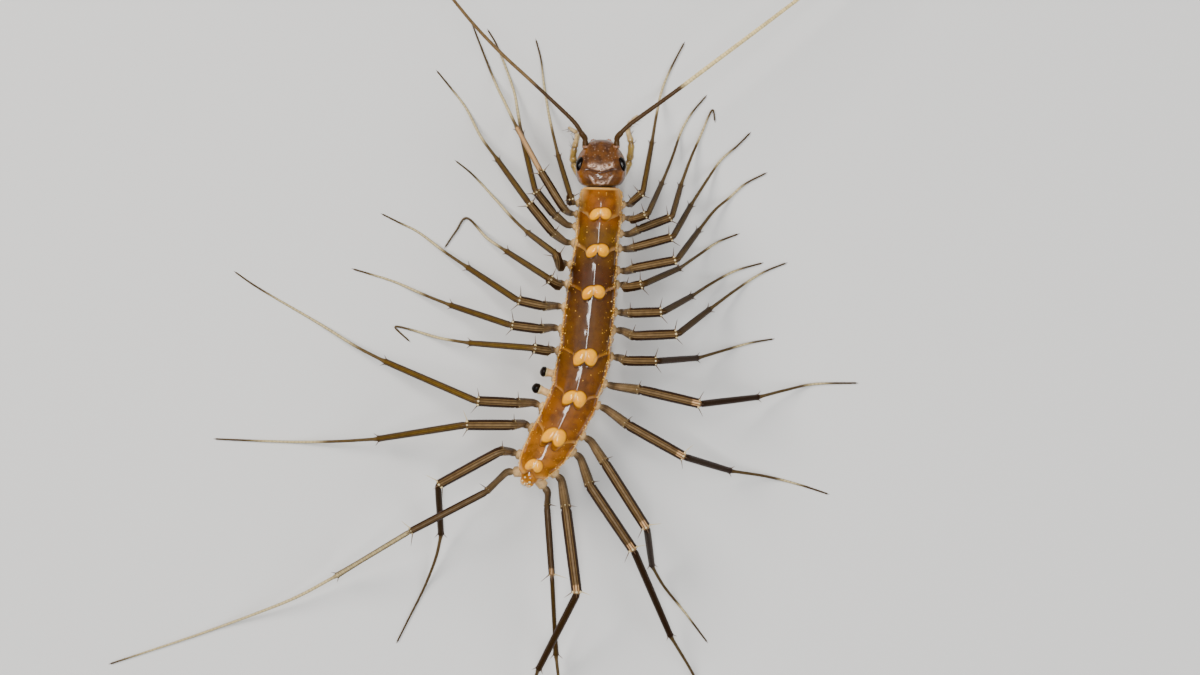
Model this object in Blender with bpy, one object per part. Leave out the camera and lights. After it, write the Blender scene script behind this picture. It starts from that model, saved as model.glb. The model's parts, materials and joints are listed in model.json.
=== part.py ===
"""A house centipede, life size, standing still on the floor.

+Y runs to the head, +X to the animal's right side and +Z up, and the floor is z = 0.
Shapes are made in millimetres, and each finished mesh is brought to metres. Places along the
body and the legs are read from a picture taken from straight above, so they are picture
places in pixels with a height in millimetres, and place() turns them into the model's frame.
"""

import math
from collections import namedtuple

import bmesh
import bpy
from mathutils import Matrix, Vector

METRES = 0.001

# The picture's scale
MM_PER_PIXEL = 0.09
VIEW_HEIGHT = 250.0
PICTURE_MIDDLE = (600.0, 337.5)
ORIGIN = (-7.96, -3.73)

GAP = 0.3

# Trunk
BACK_HEIGHT = 6.2
MARGIN_HEIGHT = 4.85
WALL_TOP = 4.45
WALL_FOOT = 3.3
BELLY_HEIGHT = 2.95
WALL_SHARE = 0.84
WALL_ROOT_HEIGHT = 3.78
SADDLE_LOBE = 0.22
RING_STEP = 6.5
HEAD_END = 186.0
TRUNK_START = 191.5
TERGITE_ENDS = (222.0, 259.0, 301.0, 368.0, 409.0, 449.0, 478.0)
CORNER_ROWS = 2.6
REAR_RISE = 0.22
FRONT_DROP = 0.2
TELSON_SIZE = (0.55, 0.6)
TELSON_STEP = 0.26
TELSON_SHRINK = (1.0, 0.95, 0.7, 0.3)
TELSON_HEIGHT = 4.4

# Legs
MOUNT_LENGTH = 0.75
FREE_OF_MARGIN = 0.42
COXA_RADIUS = 0.40
THIGH_RADIUS = 0.40
SHIN_RADIUS = 0.29
TARSUS_RADIUS = 0.25
TIP_RADIUS = 0.13
TARSUS_STEPS = 8
TOUCH_DOWN = 0.55
SPINE_RADIUS = 0.19
SPINE_TIP_RADIUS = 0.05
SPURS_AT_SPUR_JOINT = (("head", 1.25), ("tail", 1.25), ("up", 1.0))
SPURS_AT_KNEE = (("head", 1.0),)
SPURS_AT_ANKLE = (("up", 0.85),)
SPUR_LEAN = math.radians(36)
KNEE_SPUR_LEAN = math.radians(46)
SPUR_SINK = 0.1

# Feelers and mouthparts
FEELER_BASE_RADIUS = 0.32
FEELER_RADIUS = 0.26
FEELER_TIP_RADIUS = 0.16
FEELER_STEP = 1.3
SOCKET_RADIUS = 0.42
SOCKET_LENGTH = 0.55
PALP_RADII = (0.32, 0.24)
PALP_SPINE_LENGTH = 0.8
PALP_SPINE_RADIUS = 0.15
PALP_SPINE_LEAN = math.radians(52)
FORCIPULE_RADII = (0.36, 0.12)
EYE_AXES = (0.46, 0.80, 0.76)
EYE_TILT = math.radians(38)
EYE_YAW = 0.14
LABRUM = (601.0, 146.0, 4.0)
LABRUM_AXES = (0.62, 0.5, 0.34)

Station = namedtuple("Station", "row column half_width")
SPINE_LINE = (
    Station(186, 601.5, 19.0),
    Station(200, 601.0, 21.5),
    Station(214, 600.0, 22.5),
    Station(230, 598.0, 22.5),
    Station(251, 596.0, 22.5),
    Station(275, 593.0, 24.0),
    Station(293, 591.5, 25.0),
    Station(315, 589.0, 25.5),
    Station(340, 586.0, 26.5),
    Station(357, 584.0, 26.5),
    Station(378, 579.0, 26.0),
    Station(399, 573.0, 25.0),
    Station(420, 563.0, 24.5),
    Station(437, 554.0, 24.0),
    Station(450, 546.0, 22.5),
    Station(462, 538.0, 20.0),
    Station(472, 532.5, 16.5),
    Station(482, 527.5, 10.0),
    Station(492, 523.0, 4.0),
)

HeadRing = namedtuple("HeadRing", "row half_width top foot")
HEAD_MIDDLE = 601.0
HEAD_RINGS = (
    HeadRing(140.5, 7.0, 4.95, 4.15),
    HeadRing(142.5, 11.5, 5.15, 4.0),
    HeadRing(147.0, 16.5, 5.45, 3.85),
    HeadRing(152.0, 20.5, 5.7, 3.75),
    HeadRing(158.0, 23.5, 5.95, 3.7),
    HeadRing(164.0, 25.0, 6.1, 3.65),
    HeadRing(170.0, 25.3, 6.15, 3.65),
    HeadRing(176.0, 24.6, 6.2, 3.7),
    HeadRing(181.0, 23.0, 6.1, 3.8),
    HeadRing(184.7, 19.8, 5.9, 3.95),
    HeadRing(HEAD_END, 16.0, 5.6, 4.15),
)

# A leg's station is its row on the spine line; its knee, spur joint and ankle are picture
# places with heights, and the tarsus runs on from the ankle to its tip.
Leg = namedtuple("Leg", "station size knee spur ankle tarsus")
LEFT_LEGS = {
    1: Leg(204.5, 0.82, (572, 202, 5.9), (572, 196, 7.2), (558, 155, 3.2),
           ((550, 120), (544, 85), (541, 60), (536, 40))),
    2: Leg(216.5, 0.84, (563, 208, 7.0), (540, 170, 7.4), (517, 128, 3.5),
           ((506, 105), (495, 82), (479, 42), (472, 23))),
    3: Leg(228.5, 0.88, (554, 214.5, 5.2), (535, 190, 6.3), (521, 132, 1.7),
           ((518, 112), (513, 88), (498, 48), (488, 30))),
    4: Leg(245, 0.92, (552, 232, 6.2), (528, 202, 6.9), (497, 159, 2.0),
           ((481, 137), (466, 108), (450, 87), (437, 71))),
    5: Leg(267.5, 0.95, (565, 268, 6.3), (556, 254, 8.0), (527, 232, 3.4),
           ((514, 220), (497, 201), (473, 175), (456, 161))),
    6: Leg(286, 0.97, (558, 286, 6.3), (548, 278, 7.6), (506, 251, 2.8),
           ((487, 238), (467, 218), (457, 229), (448, 243))),
    7: Leg(310, 1.0, (543, 306, 6.2), (517, 300, 6.9), (467, 267, 2.3),
           ((445, 252), (418, 232), (398, 222), (382, 214))),
    8: Leg(332, 1.0, (540, 329, 6.2), (510, 325, 6.9), (450, 305, 2.2),
           ((425, 295), (395, 282), (370, 274), (353, 269))),
    9: Leg(355, 1.0, (547, 351, 6.3), (532, 348, 7.5), (469, 343, 2.6),
           ((440, 338), (412, 330), (395, 327), (409, 341))),
    12: Leg(418, 1.05, (516, 403, 6.1), (476, 401, 6.9), (384, 361, 1.6),
            ((356, 346), (320, 324), (260, 289), (235, 272))),
    13: Leg(440, 1.08, (512, 425, 6.2), (465, 425, 6.9), (377, 439, 1.6),
            ((340, 441), (300, 442), (262, 441), (215, 439))),
    14: Leg(464, 1.1, (500, 451, 5.9), (438, 485, 5.4), (441, 535, 1.5),
            ((436, 558), (424, 588), (410, 616), (397, 642))),
    15: Leg(477, 1.12, (486, 492, 5.7), (409, 532, 6.4), (336, 576, 1.9),
            ((300, 595), (262, 611), (200, 634), (110, 664))),
}
RIGHT_LEGS = {
    1: Leg(203, 0.82, (633, 201, 6.0), (643, 192, 7.4), (652, 142, 2.9),
           ((657, 112), (662, 90), (670, 70), (684, 43))),
    2: Leg(215, 0.84, (633, 220, 6.6), (648, 214, 8.0), (662, 183, 3.4),
           ((672, 158), (681, 132), (691, 114), (706, 96))),
    3: Leg(231, 0.88, (640, 229, 5.5), (672, 217, 6.2), (681, 185, 2.0),
           ((690, 160), (700, 137), (712, 110), (715, 121))),
    4: Leg(246, 0.92, (636, 247, 6.0), (673, 237, 6.6), (691, 205, 2.0),
           ((707, 180), (721, 160), (737, 146), (750, 133))),
    5: Leg(267.5, 0.95, (635, 268, 6.1), (677, 260, 6.8), (699, 230, 2.0),
           ((714, 211), (729, 198), (745, 184), (766, 173))),
    6: Leg(283, 0.97, (626, 288, 6.2), (644, 284, 7.4), (680, 268, 2.4),
           ((700, 254), (718, 242), (738, 234))),
    7: Leg(309, 1.0, (632, 313, 6.2), (663, 312, 6.9), (692, 296, 2.2),
           ((712, 283), (735, 271), (762, 263))),
    8: Leg(327, 1.0, (634, 336, 6.2), (678, 334, 6.8), (710, 309, 2.0),
           ((737, 289), (762, 273), (786, 263))),
    9: Leg(353, 1.0, (626, 361, 6.1), (658, 361, 6.9), (698, 358, 2.0),
           ((725, 350), (750, 343), (773, 339))),
    10: Leg(377, 1.02, (641, 390, 6.0), (701, 404, 6.6), (759, 397, 1.9),
            ((785, 390), (815, 384), (857, 383))),
    11: Leg(397, 1.04, (628, 425, 6.0), (685, 457, 6.7), (731, 471, 1.9),
            ((765, 476), (797, 484), (828, 494))),
    12: Leg(425, 1.05, (605, 463, 5.9), (647, 529, 6.8), (652, 566, 1.9),
            ((664, 586), (686, 614), (707, 642))),
    13: Leg(440, 1.08, (590, 486, 5.8), (634, 551, 6.3), (671, 637, 1.8),
            ((692, 672), (705, 700), (722, 735))),
    14: Leg(463, 1.1, (566, 509, 6.0), (577, 594, 6.9), (538, 670, 2.6),
            ((528, 700), (520, 730), (510, 775))),
    15: Leg(477, 1.12, (547, 507, 5.2), (552, 577, 5.4), (556, 656, 1.3),
            ((559, 680), (566, 740), (572, 800), (575, 860))),
}
SHED_LEGS = {10: 379.0, 11: 399.0}
SHED_MOUNT_LENGTH = 0.9

FEELERS = {
    "left": ((585, 138.6, 5.0), (582, 134, 5.15), (575, 123, 5.3), (560, 108, 5.5),
             (528, 78, 6.0), (500, 52, 6.8), (470, 20, 7.8), (430, -30, 9.2),
             (395, -75, 10.1), (355, -120, 10.6)),
    "right": ((617, 138.6, 5.0), (620, 134, 5.15), (628, 126, 5.2), (640, 117, 5.25),
              (676, 91, 5.3), (720, 58, 5.2), (760, 28, 4.9), (797, 0, 4.4),
              (840, -32, 3.7), (880, -66, 3.0), (915, -100, 2.4)),
}
FEELER_SOCKETS = {"left": (586, 150, 4.95), "right": (616, 150, 4.95)}
EYES = {"left": (582.0, 166.0, 5.12), "right": (620.0, 166.0, 5.12)}
PALPS = {
    "left": ((579, 174, 3.3), (575, 167, 3.05), (573, 157, 3.3), (575, 146, 3.8),
             (577, 134, 3.4), (568, 127, 2.4)),
    "right": ((623, 174, 3.3), (627, 167, 3.05), (630, 157, 3.3), (631, 143, 3.8),
              (628, 127, 3.6), (638, 115, 2.6)),
}
# How far it lies to the side, its row and its height
FORCIPULE = ((11, 185.8, 3.2), (13, 178, 2.75), (14, 168, 2.6), (11, 158, 2.55), (4, 150, 2.6))

# How far the head's groove lies to the side, its row, height and radius
HEAD_GROOVE = ((-15, 167.5, 6.22, 0.12), (-8, 170.5, 6.26, 0.2), (0, 173, 6.3, 0.22),
               (8, 170.5, 6.26, 0.2), (15, 167.5, 6.22, 0.12))

# Colour, roughness
SHELL_AMBER = ((0.42, 0.19, 0.05), 0.25)
SHELL_BROWN = ((0.18, 0.10, 0.03), 0.25)
HEAD_BROWN = ((0.25, 0.07, 0.02), 0.2)
EYE_BLACK = ((0.01, 0.01, 0.012), 0.1)
LEG_OLIVE = ((0.24, 0.19, 0.11), 0.35)
FEELER_BROWN = ((0.12, 0.07, 0.03), 0.4)
MOUTH_AMBER = ((0.45, 0.27, 0.10), 0.3)


def place(column, row, height):
    """The point at this height that the picture shows at this column and row."""
    scale = MM_PER_PIXEL * (VIEW_HEIGHT - height) / VIEW_HEIGHT
    return Vector((
        (column - PICTURE_MIDDLE[0]) * scale - ORIGIN[0],
        (PICTURE_MIDDLE[1] - row) * scale - ORIGIN[1],
        height,
    ))


def smooth_path(points, step):
    """Points about this far apart on a smooth curve through the given points."""
    ends = [2 * points[0] - points[1], *points, 2 * points[-1] - points[-2]]
    path = []
    for before, start, end, after in zip(ends, ends[1:], ends[2:], ends[3:]):
        count = max(1, round((end - start).length / step))
        for i in range(count):
            t = i / count
            path.append(0.5 * (
                2 * start
                + (end - before) * t
                + (2 * before - 5 * start + 4 * end - after) * t * t
                + (3 * start - before - 3 * end + after) * t ** 3
            ))
    return path + [points[-1].copy()]


def rounded_corner(before, corner, after, reach):
    """Three points that round a corner of a path."""
    start = corner + (before - corner).normalized() * min(reach, 0.45 * (before - corner).length)
    end = corner + (after - corner).normalized() * min(reach, 0.45 * (after - corner).length)
    return [start, 0.25 * start + 0.5 * corner + 0.25 * end, end]


def spine_values(row):
    """The spine line's column and half width at this row, on a smooth curve."""
    index = 1
    while index < len(SPINE_LINE) - 3 and SPINE_LINE[index + 1].row < row:
        index += 1
    before, start, end, after = SPINE_LINE[index - 1:index + 3]
    span = end.row - start.row
    t = (row - start.row) / span
    values = []
    for field in ("column", "half_width"):
        a, b, c, d = (getattr(s, field) for s in (before, start, end, after))
        slope_b = (c - a) / (end.row - before.row) * span
        slope_c = (d - b) / (after.row - start.row) * span
        values.append(
            b * (2 * t ** 3 - 3 * t ** 2 + 1) + slope_b * (t ** 3 - 2 * t ** 2 + t)
            + c * (3 * t ** 2 - 2 * t ** 3) + slope_c * (t ** 3 - t ** 2)
        )
    return values


def spine_at(row):
    """The spine line's point, its way to the tail and to the right, half width and narrowing."""
    column, half_width = spine_values(row)
    further_column, further_half_width = spine_values(row + 1)
    at = place(column, row, WALL_TOP)
    to_tail = place(further_column, row + 1, WALL_TOP) - at
    length = to_tail.length
    to_tail.normalize()
    to_right = Vector((-to_tail.y, to_tail.x, 0.0))
    narrowing = (half_width - further_half_width) * MM_PER_PIXEL / length
    half_width *= MM_PER_PIXEL * (VIEW_HEIGHT - WALL_TOP) / VIEW_HEIGHT
    return at, to_tail, to_right, half_width, narrowing


def new_object(name, mesh, collection, finish):
    """An object at its mesh's middle, in metres, with its own material."""
    middle = sum((v.co for v in mesh.vertices), Vector()) / len(mesh.vertices)
    middle = Vector(round(c, 2) for c in middle)
    mesh.transform(Matrix.Translation(-middle))
    mesh.transform(Matrix.Scale(METRES, 4))
    obj = bpy.data.objects.new(name, mesh)
    obj.location = middle * METRES
    mesh.name = name
    mesh.shade_smooth()
    mesh.set_sharp_from_angle(angle=math.radians(50))
    colour, roughness = finish
    material = bpy.data.materials.new(name)
    material.use_nodes = True
    shader = material.node_tree.nodes["Principled BSDF"]
    shader.inputs["Base Color"].default_value = (*colour, 1.0)
    shader.inputs["Roughness"].default_value = roughness
    shader.inputs["Metallic"].default_value = 0.0
    mesh.materials.clear()
    mesh.materials.append(material)
    collection.objects.link(obj)
    return obj


def tube(points, radii, sides=6):
    """A closed tube along these points, as a mesh."""
    curve = bpy.data.curves.new("tube", "CURVE")
    curve.dimensions = "3D"
    curve.bevel_depth = 1.0
    curve.bevel_resolution = (sides - 4) // 2
    curve.use_fill_caps = True
    spline = curve.splines.new("POLY")
    spline.points.add(len(points) - 1)
    for spot, point, radius in zip(spline.points, points, radii):
        spot.co = (*point, 1.0)
        spot.radius = radius
    holder = bpy.data.objects.new("tube", curve)
    bpy.context.scene.collection.objects.link(holder)
    evaluated = holder.evaluated_get(bpy.context.evaluated_depsgraph_get())
    mesh = bpy.data.meshes.new_from_object(evaluated)
    bpy.data.objects.remove(holder)
    bpy.data.curves.remove(curve)
    work = bmesh.new()
    work.from_mesh(mesh)
    bmesh.ops.remove_doubles(work, verts=work.verts, dist=0.0001)
    bmesh.ops.recalc_face_normals(work, faces=work.faces)
    work.to_mesh(mesh)
    work.free()
    return mesh


def cone(root, direction, length, radius=SPINE_RADIUS, tip_radius=SPINE_TIP_RADIUS, sides=5):
    """A spine from its root, as a mesh."""
    turn = direction.to_track_quat("Z", "Y").to_matrix().to_4x4()
    shift = Matrix.Translation(root + direction.normalized() * length / 2)
    work = bmesh.new()
    bmesh.ops.create_cone(
        work, cap_ends=True, segments=sides, radius1=radius, radius2=tip_radius, depth=length,
        matrix=shift @ turn,
    )
    return to_mesh(work)


def ellipsoid(middle, axes, turn, sides=14, rows=9):
    """An ellipsoid with these half axes, turned about its middle."""
    work = bmesh.new()
    matrix = Matrix.Translation(middle) @ turn.to_4x4() @ Matrix.Diagonal((*axes, 1.0))
    bmesh.ops.create_uvsphere(work, u_segments=sides, v_segments=rows, radius=1.0, matrix=matrix)
    return to_mesh(work)


def to_mesh(work):
    mesh = bpy.data.meshes.new("piece")
    work.to_mesh(mesh)
    work.free()
    return mesh


def loft(rings):
    """A closed body through rings of an upper and a lower row of points, left to right."""
    work = bmesh.new()
    rows = [
        ([work.verts.new(p) for p in upper], [work.verts.new(p) for p in lower])
        for upper, lower in rings
    ]
    for (upper, lower), (next_upper, next_lower) in zip(rows, rows[1:]):
        here = upper + lower[::-1]
        there = next_upper + next_lower[::-1]
        for i in range(len(here)):
            k = (i + 1) % len(here)
            work.faces.new((here[i], here[k], there[k], there[i]))
    for upper, lower in (rows[0], rows[-1]):
        for i in range(len(upper) - 1):
            work.faces.new((upper[i], upper[i + 1], lower[i + 1], lower[i]))
    bmesh.ops.recalc_face_normals(work, faces=work.faces)
    return to_mesh(work)


def fused(base, pieces, operation="UNION"):
    """The base mesh joined with the pieces, or cut by them; only its largest body is kept."""
    group = bpy.data.collections.new("pieces")
    for mesh in pieces:
        group.objects.link(bpy.data.objects.new("piece", mesh))
    holder = bpy.data.objects.new("base", base)
    bpy.context.scene.collection.objects.link(holder)
    boolean = holder.modifiers.new("boolean", "BOOLEAN")
    boolean.operation = operation
    boolean.solver = "EXACT"
    boolean.operand_type = "COLLECTION"
    boolean.collection = group
    evaluated = holder.evaluated_get(bpy.context.evaluated_depsgraph_get())
    mesh = bpy.data.meshes.new_from_object(evaluated)
    bpy.data.objects.remove(holder)
    for obj in list(group.objects):
        bpy.data.objects.remove(obj)
    bpy.data.collections.remove(group)
    return largest_body(mesh)


def largest_body(mesh):
    """The mesh with only its largest closed surface."""
    work = bmesh.new()
    work.from_mesh(mesh)
    left = set(work.verts)
    bodies = []
    while left:
        stack = [left.pop()]
        body = list(stack)
        while stack:
            for edge in stack.pop().link_edges:
                for vert in edge.verts:
                    if vert in left:
                        left.discard(vert)
                        stack.append(vert)
                        body.append(vert)
        bodies.append(body)
    bodies.sort(key=len, reverse=True)
    scraps = [vert for body in bodies[1:] for vert in body]
    bmesh.ops.delete(work, geom=scraps, context="VERTS")
    work.to_mesh(mesh)
    work.free()
    return mesh


def flattened(mesh):
    """The mesh cut off at the floor, with a flat sole where it was cut."""
    work = bmesh.new()
    work.from_mesh(mesh)
    geometry = work.verts[:] + work.edges[:] + work.faces[:]
    bmesh.ops.bisect_plane(
        work, geom=geometry, dist=0.00001, plane_co=(0, 0, 0), plane_no=(0, 0, 1),
        clear_inner=True,
    )
    rim = [edge for edge in work.edges if edge.is_boundary]
    bmesh.ops.holes_fill(work, edges=rim)
    bmesh.ops.recalc_face_normals(work, faces=work.faces)
    work.to_mesh(mesh)
    work.free()
    return mesh


def saddle_height(across, rows_to_rear):
    """How far the two lobes in front of a tergite's rear notch stand up."""
    beside = (abs(across) - 0.27) / 0.17
    along = (rows_to_rear - 8.0) / 5.0
    return SADDLE_LOBE * math.exp(-beside * beside - along * along)


def trunk_segment(front, rear, last):
    """One trunk segment: its tergite overhangs the side walls and overlaps to the rear."""
    angles = [math.radians(a) for a in (-90, -72, -52, -34, -17, 0, 17, 34, 52, 72, 90)]
    wall_shares = (1.0, 1.0, 0.9, 0.62, 0.3, 0.0, 0.3, 0.62, 0.9, 1.0, 1.0)
    rings = []
    count = max(4, round((rear - front) / RING_STEP))
    for ring in range(count + 1):
        part = ring / count
        rise = REAR_RISE * part - FRONT_DROP * (1 - part) ** 2
        swell = 0.93 + 0.07 * math.sin(math.pi * min(1.0, 0.15 + part * 0.95))
        upper, lower = [], []
        for i, angle in enumerate(angles):
            side = math.sin(angle)
            lobe = CORNER_ROWS * abs(math.sin(math.pi * side)) * (1 - part if last else 1)
            row = front + lobe + (rear - front) * part
            at, _, to_right, half_width, _ = spine_at(row)
            body = half_width / 2.1
            crown = MARGIN_HEIGHT + (BACK_HEIGHT - MARGIN_HEIGHT) * min(1.0, body)
            crown = MARGIN_HEIGHT + (crown - MARGIN_HEIGHT + rise) * math.cos(angle) ** 0.85
            crown += saddle_height(side, rear + lobe - row)
            point = at + to_right * side * half_width * swell
            upper.append(Vector((point.x, point.y, crown)))
            share = wall_shares[i]
            depth = (WALL_TOP, WALL_FOOT, BELLY_HEIGHT)[min(i, len(angles) - 1 - i, 2)]
            point = at + to_right * math.copysign(share, side) * half_width * WALL_SHARE
            lower.append(Vector((point.x, point.y, depth)))
        rings.append((upper, lower))
    return loft(rings)


def head_mesh():
    rings = []
    angles = [math.radians(a) for a in (-90, -72, -54, -36, -18, 0, 18, 36, 54, 72, 90)]
    for ring in HEAD_RINGS:
        middle = 0.45 * ring.top + 0.55 * ring.foot
        upper, lower = [], []
        for angle in angles:
            across = ring.half_width * math.copysign(abs(math.sin(angle)) ** 0.9, angle)
            over = (ring.top - middle) * math.cos(angle) ** 0.75
            under = (middle - ring.foot) * math.cos(angle) ** 0.6
            trim = 0.0 if math.cos(angle) > 0.01 else 0.1
            upper.append(place(HEAD_MIDDLE + across, ring.row, middle + over + trim))
            lower.append(place(HEAD_MIDDLE + across * 0.97, ring.row, middle - under - trim))
        rings.append((upper, lower))
    return loft(rings)


def eye_turn(side):
    return Matrix.Rotation(side * EYE_TILT, 3, "Y") @ Matrix.Rotation(side * EYE_YAW, 3, "Z")


def build_head(collection):
    """The head with its antenna sockets, eye bowls and the groove across its crown."""
    head = head_mesh()
    sockets = [
        cone(place(*at), Vector((0, 1, 0.05)), SOCKET_LENGTH, SOCKET_RADIUS, SOCKET_RADIUS * 0.9, 8)
        for at in FEELER_SOCKETS.values()
    ]
    labrum = ellipsoid(place(*LABRUM), LABRUM_AXES, Matrix.Identity(3), 10, 7)
    head = fused(head, [*sockets, labrum])
    bowls = [
        ellipsoid(place(*EYES[name]), [a + GAP for a in EYE_AXES], eye_turn(side))
        for name, side in (("left", -1), ("right", 1))
    ]
    groove = tube(
        [place(HEAD_MIDDLE + across, row, height) for across, row, height, _ in HEAD_GROOVE],
        [radius for *_, radius in HEAD_GROOVE],
    )
    head = fused(head, [*bowls, groove], "DIFFERENCE")
    new_object("head", head, collection, HEAD_BROWN)
    for name, side in (("left", -1), ("right", 1)):
        eye = ellipsoid(place(*EYES[name]), EYE_AXES, eye_turn(side))
        new_object(f"eye_{name}", eye, collection, EYE_BLACK)


def build_trunk(collection):
    """The seven segments, each behind the last, and the telson."""
    front = TRUNK_START
    gap_rows = 1.25 * GAP / MM_PER_PIXEL
    for number, rear in enumerate(TERGITE_ENDS, 1):
        last = number == len(TERGITE_ENDS)
        mesh = trunk_segment(front, rear, last)
        finish = SHELL_BROWN if number in (3, 4) else SHELL_AMBER
        new_object(f"trunk_{number}", mesh, collection, finish)
        front = rear + gap_rows
    new_object("telson", telson_mesh(front), collection, SHELL_AMBER)


def telson_mesh(front):
    at, to_tail, to_right, _, _ = spine_at(front)
    half_width, half_height = TELSON_SIZE
    rings = []
    for step, size in enumerate(TELSON_SHRINK):
        middle = at + to_tail * step * TELSON_STEP
        upper, lower = [], []
        for angle in range(-90, 91, 30):
            reach = math.sin(math.radians(angle)) * half_width * size
            lift = math.cos(math.radians(angle)) * half_height * size + 0.05
            point = middle + to_right * reach
            upper.append(Vector((point.x, point.y, TELSON_HEIGHT + lift)))
            lower.append(Vector((point.x, point.y, TELSON_HEIGHT - lift)))
        rings.append((upper, lower))
    return loft(rings)


def mount_points(station, side):
    """Where a leg's mount starts, just off the side wall, and the way that it points."""
    at, to_tail, to_right, half_width, narrowing = spine_at(station)
    outward = (to_right * side + to_tail * narrowing * WALL_SHARE).normalized()
    wall = at + to_right * side * half_width * WALL_SHARE
    start = wall + outward * GAP * 1.25
    start.z = WALL_ROOT_HEIGHT
    return start, outward


def kept_off(point, station, side, radius):
    """The point moved out from the tergite's margin as far as a leg this thick needs."""
    at, _, to_right, half_width, _ = spine_at(station)
    beyond = (point - at).dot(to_right * side) - half_width
    short = radius + FREE_OF_MARGIN - beyond
    return point + to_right * side * short if short > 0 else point


def tarsus_path(ankle, places, size):
    """The tarsus from the ankle down to the floor and along it, with its radii."""
    flat = [ankle] + [place(column, row, 0.2) for column, row in places]
    level = [Vector((p.x, p.y, 0.0)) for p in flat]
    length = sum((b - a).length for a, b in zip(level, level[1:]))
    path = smooth_path(level, length / TARSUS_STEPS)
    walked = 0.0
    points, radii = [], []
    for i, point in enumerate(path):
        if i:
            walked += (point - path[i - 1]).length
        part = min(1.0, walked / length)
        radius = TARSUS_RADIUS + (TIP_RADIUS - TARSUS_RADIUS) * max(0.0, part - 0.6) / 0.4
        lift = max(0.0, 1 - part / TOUCH_DOWN)
        floor_height = 0.72 * radius
        height = floor_height + (ankle.z - floor_height) * lift ** 1.4
        points.append(Vector((point.x, point.y, height)))
        radii.append(radius)
    radii[0] = max(radii[0], SHIN_RADIUS * size)
    return points, radii


def spur_meshes(joint, axis, side, lean, spurs, radius, size):
    """The spurs round a joint: each leans out from the limb's axis, upward or to one side."""
    to_head = axis.cross(Vector((0, 0, -side)))
    to_head = to_head.normalized() if to_head.length > 0.1 else Vector((0, 1, 0))
    outward = {"up": to_head.cross(axis) * -side, "head": to_head, "tail": -to_head}
    root = joint - axis * SPUR_SINK
    meshes = []
    for where, length in spurs:
        direction = axis * math.cos(lean) + outward[where].normalized() * math.sin(lean)
        meshes.append(cone(root, direction, length * size, radius))
    return meshes


def build_leg(name, leg, side, collection):
    """One leg: mount, thigh in two lengths, shin and tarsus, with the spurs at its joints."""
    size = leg.size
    start, outward = mount_points(leg.station, side)
    mount = start + outward * MOUNT_LENGTH * min(1.0, size)
    mount = kept_off(mount, leg.station, side, COXA_RADIUS * size)
    knee = kept_off(place(*leg.knee), leg.station, side, THIGH_RADIUS * size)
    spur = kept_off(place(*leg.spur), leg.station, side, THIGH_RADIUS * size)
    ankle = place(*leg.ankle)
    tarsus, tarsus_radii = tarsus_path(ankle, leg.tarsus, size)
    points = [start]
    points += rounded_corner(start, mount, knee, 0.45)
    points += rounded_corner(mount, knee, spur, 0.6)
    points += rounded_corner(knee, spur, ankle, 0.6)
    points += rounded_corner(spur, ankle, tarsus[1], 0.5)[:2]
    thick = [COXA_RADIUS] * 2 + [COXA_RADIUS * 0.97, THIGH_RADIUS]
    thick += [THIGH_RADIUS * 0.95, THIGH_RADIUS, THIGH_RADIUS * 1.04]
    thick += [THIGH_RADIUS, THIGH_RADIUS * 0.92, SHIN_RADIUS * 1.1]
    thick += [SHIN_RADIUS, SHIN_RADIUS]
    radii = [r * size for r in thick] + tarsus_radii[1:]
    points += tarsus[1:]
    knee_axis = (knee - mount).normalized()
    spur_axis = (spur - knee).normalized()
    ankle_axis = (ankle - spur).normalized()
    spurs = [
        *spur_meshes(knee, knee_axis, side, KNEE_SPUR_LEAN, SPURS_AT_KNEE, SPINE_RADIUS, size),
        *spur_meshes(spur, spur_axis, side, SPUR_LEAN, SPURS_AT_SPUR_JOINT, SPINE_RADIUS, size),
        *spur_meshes(ankle, ankle_axis, side, SPUR_LEAN, SPURS_AT_ANKLE, SPINE_RADIUS * 0.85, size),
    ]
    leg_mesh = flattened(fused(tube(points, radii), spurs))
    new_object(name, leg_mesh, collection, LEG_OLIVE)


def build_shed_leg(number, station, collection):
    """The mount that is left where a leg was shed."""
    start, outward = mount_points(station, -1)
    end = start + outward * SHED_MOUNT_LENGTH
    points = [start, start + outward * SHED_MOUNT_LENGTH / 2, end]
    radii = [COXA_RADIUS, COXA_RADIUS * 1.02, COXA_RADIUS * 0.8]
    new_object(f"mount_{number}_left", tube(points, radii, 8), collection, LEG_OLIVE)


def build_feeler(name, places, collection):
    """An antenna in two lengths that meet face to face."""
    path = smooth_path([place(*p) for p in places], FEELER_STEP)
    half = len(path) // 2
    radii = []
    for i in range(len(path)):
        part = i / (len(path) - 1)
        radius = FEELER_BASE_RADIUS if i < 2 else FEELER_RADIUS
        radii.append(radius + (FEELER_TIP_RADIUS - radius) * max(0.0, part - 0.7) / 0.3)
    inner, outer = path[:half + 1], path[half:]
    along = (outer[1] - outer[0]).normalized()
    outer[0] = outer[0] + along * GAP
    new_object(f"antenna_{name}_inner", tube(inner, radii[:half + 1]), collection, FEELER_BROWN)
    new_object(f"antenna_{name}_outer", tube(outer, radii[half:]), collection, FEELER_BROWN)


def tapering(count, radius, tip_radius, shape=1.0):
    """Radii that narrow from root to tip; a higher shape keeps the limb thick for longer."""
    return [radius + (tip_radius - radius) * (i / (count - 1)) ** shape for i in range(count)]


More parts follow.
